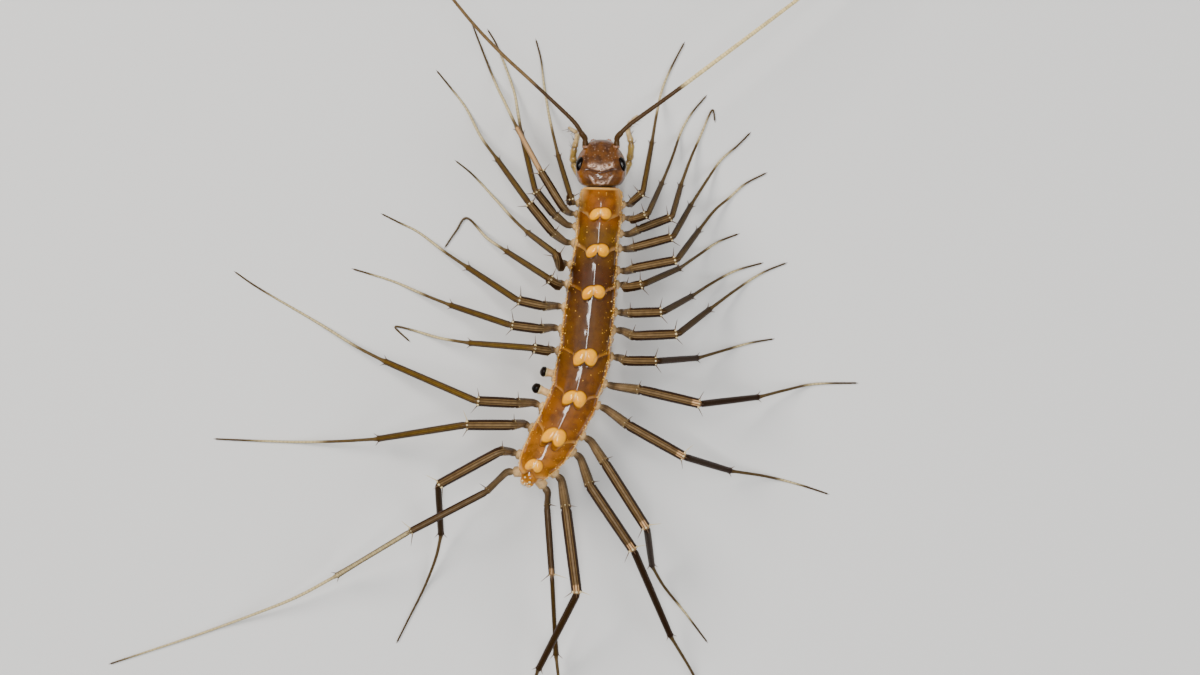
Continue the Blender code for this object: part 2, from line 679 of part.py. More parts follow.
def build_mouthparts(collection):
    """The palps with their outer spines, and the poison claws under the head."""
    for name, side in (("left", -1), ("right", 1)):
        path = smooth_path([place(*p) for p in PALPS[name]], 0.7)
        spines = []
        for i in range(3, len(path) - 1, 2):
            axis = (path[i + 1] - path[i]).normalized()
            spines += spur_meshes(
                path[i], axis, -side, PALP_SPINE_LEAN, (("tail", PALP_SPINE_LENGTH),),
                PALP_SPINE_RADIUS, 1.0,
            )
        palp = fused(tube(path, tapering(len(path), *PALP_RADII)), spines)
        new_object(f"palp_{name}", palp, collection, MOUTH_AMBER)
        bend = [
            place(HEAD_MIDDLE + side * across, row, height) for across, row, height in FORCIPULE
        ]
        path = smooth_path(bend, 0.6)
        claw = tube(path, tapering(len(path), *FORCIPULE_RADII, 2.5))
        new_object(f"forcipule_{name}", claw, collection, HEAD_BROWN)


def build():
    """The whole animal, each part an object of its own under one empty at the origin."""
    for obj in list(bpy.data.objects):
        bpy.data.objects.remove(obj)
    collection = bpy.data.collections.new("house_centipede")
    bpy.context.scene.collection.children.link(collection)
    build_head(collection)
    build_trunk(collection)
    build_mouthparts(collection)
    for name, places in FEELERS.items():
        build_feeler(name, places, collection)
    for number, leg in LEFT_LEGS.items():
        build_leg(f"leg_{number:02d}_left", leg, -1, collection)
    for number, leg in RIGHT_LEGS.items():
        build_leg(f"leg_{number:02d}_right", leg, 1, collection)
    for number, station in SHED_LEGS.items():
        build_shed_leg(number, station, collection)
    stand = bpy.data.objects.new("house_centipede_origin", None)
    collection.objects.link(stand)
    for obj in collection.objects:
        if obj is not stand:
            obj.parent = stand


build()
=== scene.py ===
import json
import math
import random
from collections import namedtuple

import bmesh
import bpy
import numpy as np
from mathutils import Matrix, Vector, noise

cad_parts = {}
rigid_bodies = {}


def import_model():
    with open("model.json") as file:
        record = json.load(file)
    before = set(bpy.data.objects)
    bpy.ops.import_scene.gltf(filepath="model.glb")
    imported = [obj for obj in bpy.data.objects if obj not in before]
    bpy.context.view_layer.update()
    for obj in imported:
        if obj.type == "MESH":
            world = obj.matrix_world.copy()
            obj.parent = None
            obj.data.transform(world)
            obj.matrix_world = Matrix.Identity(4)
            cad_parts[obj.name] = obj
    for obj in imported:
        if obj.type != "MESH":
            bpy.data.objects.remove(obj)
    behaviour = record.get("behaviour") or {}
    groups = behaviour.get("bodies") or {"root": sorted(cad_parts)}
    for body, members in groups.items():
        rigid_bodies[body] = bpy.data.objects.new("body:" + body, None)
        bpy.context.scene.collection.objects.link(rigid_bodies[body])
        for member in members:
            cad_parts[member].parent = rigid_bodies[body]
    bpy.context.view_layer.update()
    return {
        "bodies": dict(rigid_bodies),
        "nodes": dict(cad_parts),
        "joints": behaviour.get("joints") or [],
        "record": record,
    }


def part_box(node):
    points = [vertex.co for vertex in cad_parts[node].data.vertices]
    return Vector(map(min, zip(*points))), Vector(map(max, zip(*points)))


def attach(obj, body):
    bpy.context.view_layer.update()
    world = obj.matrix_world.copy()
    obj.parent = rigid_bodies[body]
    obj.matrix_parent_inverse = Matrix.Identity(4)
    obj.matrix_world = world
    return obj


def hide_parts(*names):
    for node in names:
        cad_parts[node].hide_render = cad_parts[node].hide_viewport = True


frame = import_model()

# A house centipede, dressed for the picture. Lengths here are millimetres, and a finished mesh
# is brought to metres. Columns and rows are places in the 1200 by 675 picture, which was taken
# from straight above; place() puts them, with a height, in the model's frame.

METRES = 0.001
MM_PER_PIXEL = 0.09
VIEW_HEIGHT = 250.0
PICTURE_SIZE = (1200, 675)
SIDES = {"left": -1, "right": 1}
EYE_PLACES = {"left": (582.0, 166.0, 5.12), "right": (620.0, 166.0, 5.12)}


def place_from(origin, column, row, height):
    """The point at this height that the picture shows at this column and row."""
    scale = MM_PER_PIXEL * (VIEW_HEIGHT - height) / VIEW_HEIGHT
    return Vector((
        (column - PICTURE_SIZE[0] / 2) * scale - origin[0],
        (PICTURE_SIZE[1] / 2 - row) * scale - origin[1],
        height,
    ))


def picture_origin():
    """The model's origin, from where the frame holds the left eye."""
    lowest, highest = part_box("eye_left")
    middle = (Vector(lowest) + Vector(highest)) / 2 / METRES
    return place_from((0, 0), *EYE_PLACES["left"]) - middle


ORIGIN = picture_origin()


def place(column, row, height):
    """The point of the model at this height that the picture shows there."""
    return place_from(ORIGIN, column, row, height)


# Trunk
BACK_HEIGHT = 6.2
MARGIN_HEIGHT = 4.85
WALL_TOP = 4.45
BELLY_HEIGHT = 2.95
WALL_SHARE = 0.84
COXA_HEIGHT = 3.78
TERGITE_ENDS = (190.0, 221.0, 256.5, 299.0, 365.5, 405.0, 445.5, 476.5)

# The middle line of the back and its half width, in the picture's pixels.
Station = namedtuple("Station", "row column half_width")
SPINE_LINE = (
    Station(176, 601.5, 16.0),
    Station(186, 601.5, 19.0),
    Station(200, 601.0, 21.5),
    Station(214, 600.0, 22.5),
    Station(230, 598.0, 22.5),
    Station(251, 596.0, 22.5),
    Station(275, 593.0, 24.0),
    Station(293, 591.5, 25.0),
    Station(315, 589.0, 25.5),
    Station(340, 586.0, 26.5),
    Station(357, 584.0, 26.5),
    Station(378, 579.0, 26.0),
    Station(399, 573.0, 25.0),
    Station(420, 563.0, 24.5),
    Station(437, 554.0, 24.0),
    Station(450, 546.0, 22.5),
    Station(462, 538.0, 20.0),
    Station(472, 532.5, 16.5),
    Station(482, 527.5, 10.0),
    Station(492, 523.0, 4.0),
)

# Rings of the head from the front: a half width in pixels, and the heights of top and foot.
HeadRing = namedtuple("HeadRing", "row half_width top foot")
HEAD_MIDDLE = 601.0
HEAD_RINGS = (
    HeadRing(139.0, 4.0, 4.7, 4.35),
    HeadRing(140.5, 9.5, 4.95, 4.15),
    HeadRing(142.5, 13.0, 5.15, 4.0),
    HeadRing(147.0, 16.8, 5.45, 3.85),
    HeadRing(152.0, 20.5, 5.7, 3.75),
    HeadRing(158.0, 23.5, 5.95, 3.7),
    HeadRing(164.0, 25.0, 6.1, 3.65),
    HeadRing(170.0, 25.3, 6.15, 3.65),
    HeadRing(176.0, 24.6, 6.2, 3.7),
    HeadRing(181.0, 23.0, 6.1, 3.8),
    HeadRing(184.7, 19.8, 5.9, 3.95),
    HeadRing(187.0, 15.0, 5.5, 4.2),
    HeadRing(189.0, 9.0, 5.1, 4.5),
)

# Legs. A leg's station is its row on the spine line. Its pale band is the stretch of the
# tarsus that is cream, and its shade tells how dark its shin is.
Leg = namedtuple("Leg", "station size knee spur ankle tarsus pale shade")
LEFT_LEGS = {
    1: Leg(204.5, 0.82, (572, 202, 5.9), (572, 196, 7.2), (558, 155, 3.2),
           ((550, 120), (544, 85), (541, 60), (536, 40)), (0.25, 0.75), 0.35),
    2: Leg(216.5, 0.84, (563, 208, 7.0), (540, 170, 7.4), (517, 128, 3.5),
           ((506, 105), (495, 82), (479, 42), (472, 23)), (0.1, 0.5), 0.2),
    3: Leg(228.5, 0.88, (554, 214.5, 5.2), (535, 190, 6.3), (521, 132, 1.7),
           ((518, 112), (513, 88), (498, 48), (488, 30)), (0.1, 0.75), 0.3),
    4: Leg(245, 0.92, (552, 232, 6.2), (528, 202, 6.9), (497, 159, 2.0),
           ((481, 137), (466, 108), (450, 87), (437, 71)), (0.2, 0.75), 0.35),
    5: Leg(267.5, 0.95, (565, 268, 6.3), (556, 254, 8.0), (527, 232, 3.4),
           ((514, 220), (497, 201), (473, 175), (456, 161)), (0.25, 0.7), 0.25),
    6: Leg(286, 0.97, (558, 286, 6.3), (548, 278, 7.6), (506, 251, 2.8),
           ((487, 238), (467, 218), (456, 231), (445, 247)), (0.1, 0.4), 0.3),
    7: Leg(310, 1.0, (543, 306, 6.2), (517, 300, 6.9), (467, 267, 2.3),
           ((445, 252), (418, 232), (398, 222), (382, 214)), (0.3, 0.75), 0.3),
    8: Leg(332, 1.0, (540, 329, 6.2), (510, 325, 6.9), (450, 305, 2.2),
           ((425, 295), (395, 282), (370, 274), (353, 269)), (0.3, 0.8), 0.3),
    9: Leg(355, 1.0, (547, 351, 6.3), (532, 348, 7.5), (469, 343, 2.6),
           ((440, 338), (412, 330), (395, 327), (409, 341)), (0.2, 0.6), 0.1),
    12: Leg(418, 1.05, (516, 403, 6.1), (476, 401, 6.9), (384, 361, 1.6),
            ((356, 346), (320, 324), (260, 289), (235, 272)), (0.2, 0.75), 0.1),
    13: Leg(440, 1.08, (512, 425, 6.2), (465, 425, 6.9), (377, 439, 1.6),
            ((340, 441), (300, 442), (262, 441), (215, 439)), (0.35, 0.75), 0.25),
    14: Leg(464, 1.1, (500, 451, 5.9), (438, 485, 5.4), (441, 535, 1.5),
            ((436, 558), (424, 588), (410, 616), (397, 642)), (0.0, 0.0), 0.9),
    15: Leg(477, 1.12, (486, 492, 5.7), (409, 532, 6.4), (336, 576, 1.9),
            ((300, 595), (262, 611), (200, 634), (110, 664)), (0.0, 0.9), 0.15),
}
RIGHT_LEGS = {
    1: Leg(203, 0.82, (633, 201, 6.0), (643, 192, 7.4), (652, 142, 2.9),
           ((657, 112), (662, 90), (670, 70), (684, 43)), (0.3, 0.7), 0.3),
    2: Leg(215, 0.84, (633, 220, 6.6), (648, 214, 8.0), (662, 183, 3.4),
           ((672, 158), (681, 132), (691, 114), (706, 96)), (0.5, 0.75), 0.45),
    3: Leg(231, 0.88, (640, 229, 5.5), (672, 217, 6.2), (681, 185, 2.0),
           ((690, 160), (700, 137), (712, 110), (715, 121)), (0.5, 0.75), 0.4),
    4: Leg(246, 0.92, (636, 247, 6.0), (673, 237, 6.6), (691, 205, 2.0),
           ((707, 180), (721, 160), (737, 146), (750, 133)), (0.5, 0.7), 0.5),
    5: Leg(267.5, 0.95, (635, 268, 6.1), (677, 260, 6.8), (699, 230, 2.0),
           ((714, 211), (729, 198), (745, 184), (766, 173)), (0.5, 0.7), 0.55),
    6: Leg(283, 0.97, (626, 288, 6.2), (644, 284, 7.4), (680, 268, 2.4),
           ((700, 254), (718, 242), (738, 234)), (0.5, 0.7), 0.6),
    7: Leg(309, 1.0, (632, 313, 6.2), (663, 312, 6.9), (692, 296, 2.2),
           ((712, 283), (735, 271), (762, 263)), (0.5, 0.7), 0.75),
    8: Leg(327, 1.0, (634, 336, 6.2), (678, 334, 6.8), (710, 309, 2.0),
           ((737, 289), (762, 273), (786, 263)), (0.5, 0.7), 0.75),
    9: Leg(353, 1.0, (626, 361, 6.1), (658, 361, 6.9), (698, 358, 2.0),
           ((725, 350), (750, 343), (773, 339)), (0.5, 0.7), 0.95),
    10: Leg(377, 1.02, (641, 390, 6.0), (701, 404, 6.6), (759, 397, 1.9),
            ((785, 390), (815, 384), (857, 383)), (0.5, 0.7), 1.0),
    11: Leg(397, 1.04, (628, 425, 6.0), (685, 457, 6.7), (731, 471, 1.9),
            ((765, 476), (797, 484), (828, 494)), (0.5, 0.7), 1.0),
    12: Leg(425, 1.05, (605, 463, 5.9), (647, 529, 6.8), (652, 566, 1.9),
            ((664, 586), (686, 614), (707, 642)), (0.5, 0.7), 1.0),
    13: Leg(440, 1.08, (590, 486, 5.8), (634, 551, 6.3), (671, 637, 1.8),
            ((692, 672), (705, 700), (722, 735)), (0.0, 0.0), 1.0),
    14: Leg(463, 1.1, (566, 509, 6.0), (577, 594, 6.9), (538, 670, 2.6),
            ((528, 700), (520, 730), (510, 775)), (0.0, 0.0), 0.9),
    15: Leg(477, 1.12, (547, 507, 5.2), (552, 577, 5.4), (556, 656, 1.3),
            ((559, 680), (566, 740), (572, 800), (575, 860)), (0.3, 0.9), 0.6),
}
# A shed leg's stump, with how far it stands out and half the length of its dark scar.
ShedLeg = namedtuple("ShedLeg", "station length scar")
SHED_LEGS = {10: ShedLeg(380.0, 0.86, 0.33), 11: ShedLeg(403.5, 1.12, 0.42)}

MOUNT_LENGTH = 0.75
MOUNT_GAP = 0.375
FREE_OF_MARGIN = 0.42
SOLID_COXA_RADIUS = 0.40
COXA_RADIUS = 0.42
TARSUS_RADIUS = 0.15
TIP_RADIUS = 0.07
TOUCH_DOWN = 0.55
LEG_SIDES = 18
RING_SPACING = 0.14
ANNULUS = 0.34

# Feelers, palps, poison claws and eyes, as columns, rows and heights
FEELERS = {
    "left": ((585, 148, 4.95), (585, 138.6, 5.0), (582, 134, 5.15), (575, 123, 5.3),
             (560, 108, 5.5), (528, 78, 6.0), (500, 52, 6.8), (470, 20, 7.8), (430, -30, 9.2),
             (395, -75, 10.1), (355, -120, 10.6)),
    "right": ((617, 148, 4.95), (617, 138.6, 5.0), (620, 134, 5.15), (628, 126, 5.2),
              (640, 117, 5.25), (676, 91, 5.3), (720, 58, 5.2), (760, 28, 4.9), (797, 0, 4.4),
              (840, -32, 3.7), (880, -66, 3.0), (915, -100, 2.4)),
}
FEELER_SOCKETS = {"left": (586, 150, 4.95), "right": (616, 150, 4.95)}
FEELER_RADII = {"left": (0.215, 0.165, 0.10), "right": (0.215, 0.195, 0.12)}
PALPS = {
    "left": ((581, 176, 3.6), (579, 174, 3.3), (575, 167, 3.05), (573, 157, 3.3),
             (575, 146, 3.8), (577, 134, 3.4), (568, 127, 2.4)),
    "right": ((621, 176, 3.6), (623, 174, 3.3), (627, 167, 3.05), (630, 157, 3.3),
              (631, 143, 3.8), (628, 127, 3.6), (638, 115, 2.6)),
}
FORCIPULE = ((10, 190, 3.4), (11, 185.8, 3.2), (13, 178, 2.75), (14, 168, 2.6), (11, 158, 2.55),
             (4, 150, 2.6))
PALP_RADII = (0.36, 0.16)
PALP_JOINTS = (0.28, 0.52, 0.76)
PALP_SPURS = (0.5, 0.62, 0.74, 0.86, 0.95)
CLAW_RADII = (0.40, 0.30)
CLAW_JOINTS = (0.3, 0.5, 0.66)
EYE_AXES = (0.47, 0.83, 0.76)
SHOWN_EYES = {"left": (583.2, 165.4, 5.14), "right": (618.8, 165.4, 5.14)}
EYE_TILT = math.radians(38)

# The legs' form and colours
KEELS = 6
KEEL_HEIGHT = 0.05
TARSUS_SPACING = 0.075
HIP_SINK = 0.9
# For the hip, the two joints of the thigh, the shin and the tarsus: radii at both ends, the
# flare of an end, and shares of the leg's shade and of the dark lines.
JOINT_RADII = (
    (0.44, 0.36),
    (0.29, 0.42),
    (0.41, 0.40),
    (0.285, 0.245),
    (TARSUS_RADIUS, TIP_RADIUS),
)
FLARES = (0.10, 0.05, 0.07, 0.16)
SHADE_SHARES = (0.0, 0.05, 0.15, 0.95, 0.3)
LINE_SHARES = (0.0, 0.45, 0.95, 0.75, 0.2)
PATCH_LENGTH = 0.85
# Where and how big the pale beads are that stand in for glints at the joints
GLINT_BEAD_ANGLES = (0.7, 1.57, 2.44)
GLINT_BEAD_SIZES = {2: (0.045, 0.075), 3: (0.085, 0.13)}
HIP_SHARE = 0.35
GIRTHS = {"leg_15_left": 0.66, "leg_15_right": 0.6, "leg_14_left": 0.92}
GLINT_WHITE_SPURS = ("leg_11_right", "leg_12_right", "leg_13_right", "leg_14_right", "leg_15_right",
              "leg_13_left", "leg_14_left", "leg_15_left")
PATCHES = {"leg_10_right": 0.95, "leg_11_right": 0.95, "leg_12_right": 0.9, "leg_13_right": 0.85,
           "leg_14_right": 0.8, "leg_15_right": 0.7}
DARK_THIGHS = {"leg_15_right": 0.6, "leg_15_left": 0.4, "leg_14_right": 0.2, "leg_13_right": 0.25,
               "leg_14_left": 0.15, "leg_12_left": 0.15}
PALE_SHINS = {"leg_15_left": 0.75}
WARM_SHINS = {"leg_02_left": 0.8}
# At the end of each joint: where a spur stands, how long it is and how far it leans out
SPURS = {
    2: (("head", 0.8, 1.1), ("up", 0.55, 1.0)),
    3: (("head", 1.1, 1.25), ("tail", 1.05, 1.0), ("up", 0.8, 1.0)),
    4: (("head", 0.6, 0.8), ("tail", 0.55, 0.8)),
}

# Plates. A table of seven has a value for each back plate, from the front one.
PLATE_OVERLAP = 17.0
COLLAR_ROWS = 1.8
REAR_CORNER = 5.0
TAB_DEPTHS = (1.5, 3.0, 6.0, 8.5, 8.5, 7.5, 1.0)
REAR_CURL = 0.18
PLATE_CELL = 0.5
PLATE_THICKNESS = 0.07
BEADS_PER_ROW = 0.8
BEAD_SIZES = (0.035, 0.085)
PLATE_BRISTLES = 22
PLATE_HAIRS = 130
NOTCH_ROWS = 4.5
MIDDLE_SHADES = (0.1, 0.15, 0.4, 0.4, 0.35, 0.15, 0.1)
RIM_WIDTHS = (4.5, 2.6, 2.0, 2.2, 2.2, 2.0, 2.0)
LOBE_OFFSETS = (5.0, 5.5, 5.5, 5.6, 5.6, 5.4, 3.9)
LOBE_HALF_WIDTHS = (6.2, 6.4, 6.6, 6.9, 6.6, 6.3, 4.8)
LOBE_HALF_LENGTHS = (6.0, 6.5, 6.8, 8.3, 7.6, 7.9, 5.6)
LOBE_BEYONDS = (-0.4, 1.0, 0.2, -0.2, 0.1, -1.9, -5.5)
LOBE_SHIFTS = (0.5, 1.8, 2.2, 1.6, 1.3, 0.2, -1.5)
LOBE_BRIDGE = 1.3
LOBE_LEVEL = 0.17
LOBE_LEAN = 0.30
TELSON_GLINT_BEADS = ((0.36, 0.55), (0.62, 0.72))
SADDLE_HEIGHT = 0.23
SKIN_ROWS = (184.5, 485.0)
SKIN_SHARE = 0.98
SKIN_MIDDLE = 3.93
SKIN_HAIRS = 420
BODY_ROWS = (186.0, 486.0)

# Head and feelers
EYE_YAW = 0.14
EYE_FACETS = 700
HEAD_HAIRS = 150
FEELER_RING_SPACING = 0.065
FEELER_RING = 0.27
FEELER_SCAPE = 1.5
FEELER_PALE_ROW = {"left": 90.0, "right": 91.0}

# Bristles, hairs, spurs and beads
HAIR_RADIUS = 0.009
STOUT_HAIR_RADIUS = 0.010
PALP_HAIR_RADIUS = 0.011
PLATE_BRISTLE_RADIUS = 0.014
LEG_BRISTLE_RADIUS = 0.016
PALP_SPUR_RADIUS = 0.035
LEG_SPUR_RADIUS = 0.062
TELSON_HAIRS = 30
PALP_HAIRS = 120
WHORL_HAIRS = 5
TARSUS_HAIRS = 4
BRISTLE_SPACING = 0.24
HAIR_SPACING = 0.16
SEED = 15

# Grids: points round or across, and points along
SKIN_GRID = (80, 460)
HEAD_GRID = (168, 150)
TELSON_GRID = (36, 26)
SOCKET_GRID = (36, 14)
EYE_DETAIL = 6
SHED_STEPS = 24
MOUTH_STEP = 0.06
MOUTH_SIDES = 18
FEELER_SIDES = 12
SHED_SIDES = 24
BROAD_HALF_WIDTH = 2.1
TELSON_ROW = 480.0

# Floor, lights and finishes
FLOOR_HALF = 1.5
GLOW_DEPTH = 0.0006
GLOW_SPREAD = (1.0, 0.4, 0.1)
SENSOR_WIDTH = 36.0
LIGHTS_AIM = (0.0, 0.0, 0.004)
# Names, widths and lengths, power in watts, places and colours. The strip above the back makes
# the white streak along it, and the two soft lights don't show in what is glossy.
SOFT_LIGHTS = (
    ("soft_box", (0.34, 0.34), 6.5, (-0.40, 0.30, 0.42), (1.0, 0.97, 0.93)),
    ("fill_box", (0.4, 0.4), 3.0, (0.44, -0.22, 0.36), (0.94, 0.97, 1.0)),
)
STRIP_LIGHT = ("strip_above", (0.05, 0.36), 1.5, (0.0, 0.0, 0.5))
ROOM_STRENGTH = 0.14


def smooth_path(points, step):
    """Points about this far apart on a smooth curve through the given points."""
    ends = [2 * points[0] - points[1], *points, 2 * points[-1] - points[-2]]
    path = []
    for before, start, end, after in zip(ends, ends[1:], ends[2:], ends[3:]):
        count = max(1, round((end - start).length / step))
        for i in range(count):
            t = i / count
            path.append(0.5 * (
                2 * start
                + (end - before) * t
                + (2 * before - 5 * start + 4 * end - after) * t * t
                + (3 * start - before - 3 * end + after) * t ** 3
            ))
    return path + [points[-1].copy()]


def smooth_values(table, row):
    """The fields of a table of rows, read at any row on a smooth curve."""
    index = 1
    while index < len(table) - 3 and table[index + 1].row < row:
        index += 1
    before, start, end, after = table[index - 1:index + 3]
    span = end.row - start.row
    t = min(2.0, max(-1.0, (row - start.row) / span))
    values = []
    for a, b, c, d in list(zip(before, start, end, after))[1:]:
        slope_b = (c - a) / (end.row - before.row) * span
        slope_c = (d - b) / (after.row - start.row) * span
        values.append(
            b * (2 * t ** 3 - 3 * t ** 2 + 1) + slope_b * (t ** 3 - 2 * t ** 2 + t)
            + c * (3 * t ** 2 - 2 * t ** 3) + slope_c * (t ** 3 - t ** 2)
        )
    return values


def spine_at(row):
    """The spine line's point, its way to the tail and to the right, half width and narrowing."""
    column, half_width = smooth_values(SPINE_LINE, row)
    further_column, further_half_width = smooth_values(SPINE_LINE, row + 1)
    at = place(column, row, WALL_TOP)
    to_tail = place(further_column, row + 1, WALL_TOP) - at
    length = to_tail.length
    to_tail.normalize()
    to_right = Vector((-to_tail.y, to_tail.x, 0.0))
    narrowing = (half_width - further_half_width) * MM_PER_PIXEL / length
    half_width *= MM_PER_PIXEL * (VIEW_HEIGHT - WALL_TOP) / VIEW_HEIGHT
    return at, to_tail, to_right, half_width, narrowing


def hump(x, width):
    """A smooth bump of height 1 at 0 that has faded by twice its width."""
    return math.exp(-(x / width) ** 2)


def ease(low, high, x):
    """0 below low, 1 above high, and a smooth rise between."""
    t = min(1.0, max(0.0, (x - low) / (high - low)))
    return t * t * (3 - 2 * t)


# Meshes

PATTERN_MAP = "pattern"
WELD = 0.0004
RIGHTING = 0.25
UP = Vector((0, 0, 1))
Frame = namedtuple("Frame", "point axis across up")


def bent_grid(across, along, shape, values=None, closed=True):
    """A grid whose point at u across and v along it, each 0 to 1, goes to shape(u, v).

    values are functions of u and v by name, and the mesh keeps each as an attribute.
    """
    work = bmesh.new()
    work.loops.layers.uv.new(PATTERN_MAP)
    layers = {name: work.verts.layers.float.new(name) for name in values or {}}
    bmesh.ops.create_grid(work, x_segments=across, y_segments=along, size=0.5, calc_uvs=True)
    for vert in work.verts:
        u, v = vert.co.x + 0.5, vert.co.y + 0.5
        for name, layer in layers.items():
            vert[layer] = values[name](u, v)
        vert.co = shape(u, v)
    if closed:
        bmesh.ops.remove_doubles(work, verts=work.verts, dist=WELD)
        bmesh.ops.recalc_face_normals(work, faces=work.faces)
    return to_mesh(work)


def to_mesh(work):
    """The finished mesh of what was modelled."""
    mesh = bpy.data.meshes.new("piece")
    work.to_mesh(mesh)
    work.free()
    mesh.shade_smooth()
    return mesh


def shell(mesh, thickness):
    """The open sheet given a thickness downward, with its rims closed."""
    work = bmesh.new()
    work.from_mesh(mesh)
    bmesh.ops.recalc_face_normals(work, faces=work.faces)
    if sum(face.normal.z for face in work.faces) < 0:
        bmesh.ops.reverse_faces(work, faces=work.faces)
    bmesh.ops.solidify(work, geom=work.faces[:], thickness=thickness)
    bmesh.ops.recalc_face_normals(work, faces=work.faces)
    bpy.data.meshes.remove(mesh)
    return to_mesh(work)


def frames_along(points):
    """A frame at each point of a path, turning little more than the path does.

    It keeps righting itself, so that its up stays above the path.
    """
    frames = []
    for i, point in enumerate(points):
        axis = (points[min(len(points) - 1, i + 1)] - points[max(0, i - 1)]).normalized()
        level = axis.cross(UP)
        across = frames[-1].across if frames else level
        across = across + level * math.copysign(RIGHTING, level.dot(across))
        across = (across - axis * across.dot(axis)).normalized()
        frames.append(Frame(point, axis, across, across.cross(axis)))
    return frames


def out_from(frame, angle):
    """The way out from a path at this angle round it, which starts at its right."""
    return frame.across * math.cos(angle) + frame.up * math.sin(angle)


def limb(frames, radii, sides=16, keel=0.0, values=None, stages=None):
    """A closed tube round the frames with keels along it; its map's v tells the stage."""
    last = len(frames) - 1

    def shape(u, v):
        frame, radius = frames[round(v * last)], radii[round(v * last)]
        angle = 2 * math.pi * u
        radius *= 1 + keel * math.cos(KEELS * angle)
        return frame.point + out_from(frame, angle) * radius

    functions = {
        name: (lambda u, v, row=row: row[round(v * last)]) for name, row in (values or {}).items()
    }
    mesh = bent_grid(sides, last, shape, functions)
    if stages:
        for spot in mesh.uv_layers[PATTERN_MAP].data:
            spot.uv.y = stages[round(spot.uv.y * last)]
    return mesh


def spike(sides=3):
    """A thin cone of length and radius 1 on its root."""
    work = bmesh.new()
    bmesh.ops.create_cone(
        work, cap_ends=True, segments=sides, radius1=1.0, radius2=0.0, depth=1.0,
        matrix=Matrix.Translation((0, 0, 0.5)),
    )
    return to_mesh(work)


def bead():
    """A small round bump of radius 1."""
    work = bmesh.new()
    bmesh.ops.create_uvsphere(work, u_segments=7, v_segments=5, radius=1.0)
    return to_mesh(work)


def thorn():
    """A slightly bent spur of length and radius 1, rooted a little below its origin."""
    def shape(u, v):
        angle = 2 * math.pi * u
        height = -0.08 + 1.08 * v
        radius = 0.0 if v in (0.0, 1.0) else (1 - 0.92 * v) ** 0.8
        return Vector((
            math.cos(angle) * radius + 1.6 * v * v, math.sin(angle) * radius, height,
        ))
    return bent_grid(8, 8, shape)


def stance(root, direction, length, radius):
    """The matrix that stands a spike on its root."""
    direction = direction.normalized()
    side = direction.orthogonal().normalized()
    if abs(direction.z) < 0.98:
        side = (direction * direction.z - UP).normalized()
    columns = (side * radius, direction.cross(side) * radius, direction * length, root)
    matrix = Matrix.Identity(4)
    for index, column in enumerate(columns):
        matrix.col[index].xyz = column
    return matrix


def planted(template, stances):
    """Copies of the template at these stances, joined in one mesh."""
    points = np.array([(*vert.co, 1.0) for vert in template.vertices])
    matrices = np.array(stances)
    places = np.einsum("kij,nj->kni", matrices, points)[..., :3].reshape(-1, 3)
    faces = [tuple(face.vertices) for face in template.polygons]
    count = len(points)
    all_faces = [tuple(i + k * count for i in face) for k in range(len(stances)) for face in faces]
    mesh = bpy.data.meshes.new("planted")
    mesh.from_pydata(places.tolist(), [], all_faces)
    mesh.shade_smooth()
    return mesh


def shown(name, layers, nodes):
    """A shown piece of meshes that each have one material. It stands for these nodes.

    What would dip into the floor is laid flat on it.
    """
    parts = []
    for mesh, material in layers:
        mesh.materials.append(material)
        obj = bpy.data.objects.new(name, mesh)
        bpy.context.scene.collection.objects.link(obj)
        parts.append(obj)
    piece = parts[0]
    if len(parts) > 1:
        with bpy.context.temp_override(
            active_object=piece, object=piece, selected_objects=parts,
            selected_editable_objects=parts,
        ):
            bpy.ops.object.join()
    piece.name = name
    mesh = piece.data
    mesh.name = name
    places = np.empty(3 * len(mesh.vertices))
    mesh.vertices.foreach_get("co", places)
    places[2::3] = np.maximum(places[2::3], 0.0)
    mesh.vertices.foreach_set("co", places)
    mesh.transform(Matrix.Scale(METRES, 4))
    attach(piece, "root")
    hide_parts(*nodes)
    return piece


def ellipsoid(middle, axes, turn, detail=4, relief=None):
    """A ball stretched to these half axes; relief gives what a direction adds to its radius."""
    work = bmesh.new()
    bmesh.ops.create_icosphere(work, subdivisions=detail, radius=1.0)
    stretch = Matrix.Diagonal(axes)
    for vert in work.verts:
        swell = 1 + relief(vert.co) if relief else 1
        vert.co = middle + turn @ (stretch @ (vert.co * swell))
    return to_mesh(work)


def wave(point, size):
    """Smooth noise between about -1 and 1 with features of this size."""
    return noise.noise(point / size)


# Finishes

def colour(red, green, blue):
    """A colour as it looks on a screen, 0 to 255, in the renderer's numbers."""
    return (*[(c / 255) ** 2.2 for c in (red, green, blue)], 1.0)


PLATE_COLOURS = (
    (0.02, colour(132, 76, 6)),
    (0.10, colour(126, 70, 4)),
    (0.16, colour(100, 66, 4)),
    (0.23, colour(88, 56, 4)),
    (0.30, colour(76, 42, 3)),
    (0.45, colour(88, 54, 4)),
    (0.58, colour(96, 58, 4)),
    (0.66, colour(104, 60, 2)),
    (0.78, colour(122, 70, 2)),
    (0.92, colour(146, 88, 3)),
    (1.0, colour(168, 102, 10)),
)
RIM_COLOURS = (
    (0.0, colour(204, 150, 80)),
    (0.15, colour(190, 136, 66)),
    (0.35, colour(160, 104, 34)),
    (0.7, colour(184, 118, 34)),
    (1.0, colour(214, 148, 60)),
)
PLATE_PATCH = colour(52, 26, 2)
PLATE_SHADE = colour(44, 22, 4)
GRAIN_CREAM = colour(225, 190, 120)
GRAIN_GOLD = colour(216, 158, 60)
BEAD_GOLD = colour(214, 160, 70)
SADDLE_ORANGE = colour(246, 164, 0)
SADDLE_DEEP = colour(238, 134, 0)
# Cream of the painted glints on the plates, and of the telson valves' pale edges
GLINT_AND_EDGE_CREAM = colour(250, 224, 172)
SKIN_TAN = colour(188, 156, 116)
SKIN_BROWN = colour(120, 92, 62)
BELLY_CREAM = colour(186, 150, 96)
SIDE_PLATE_AMBER = colour(140, 92, 36)
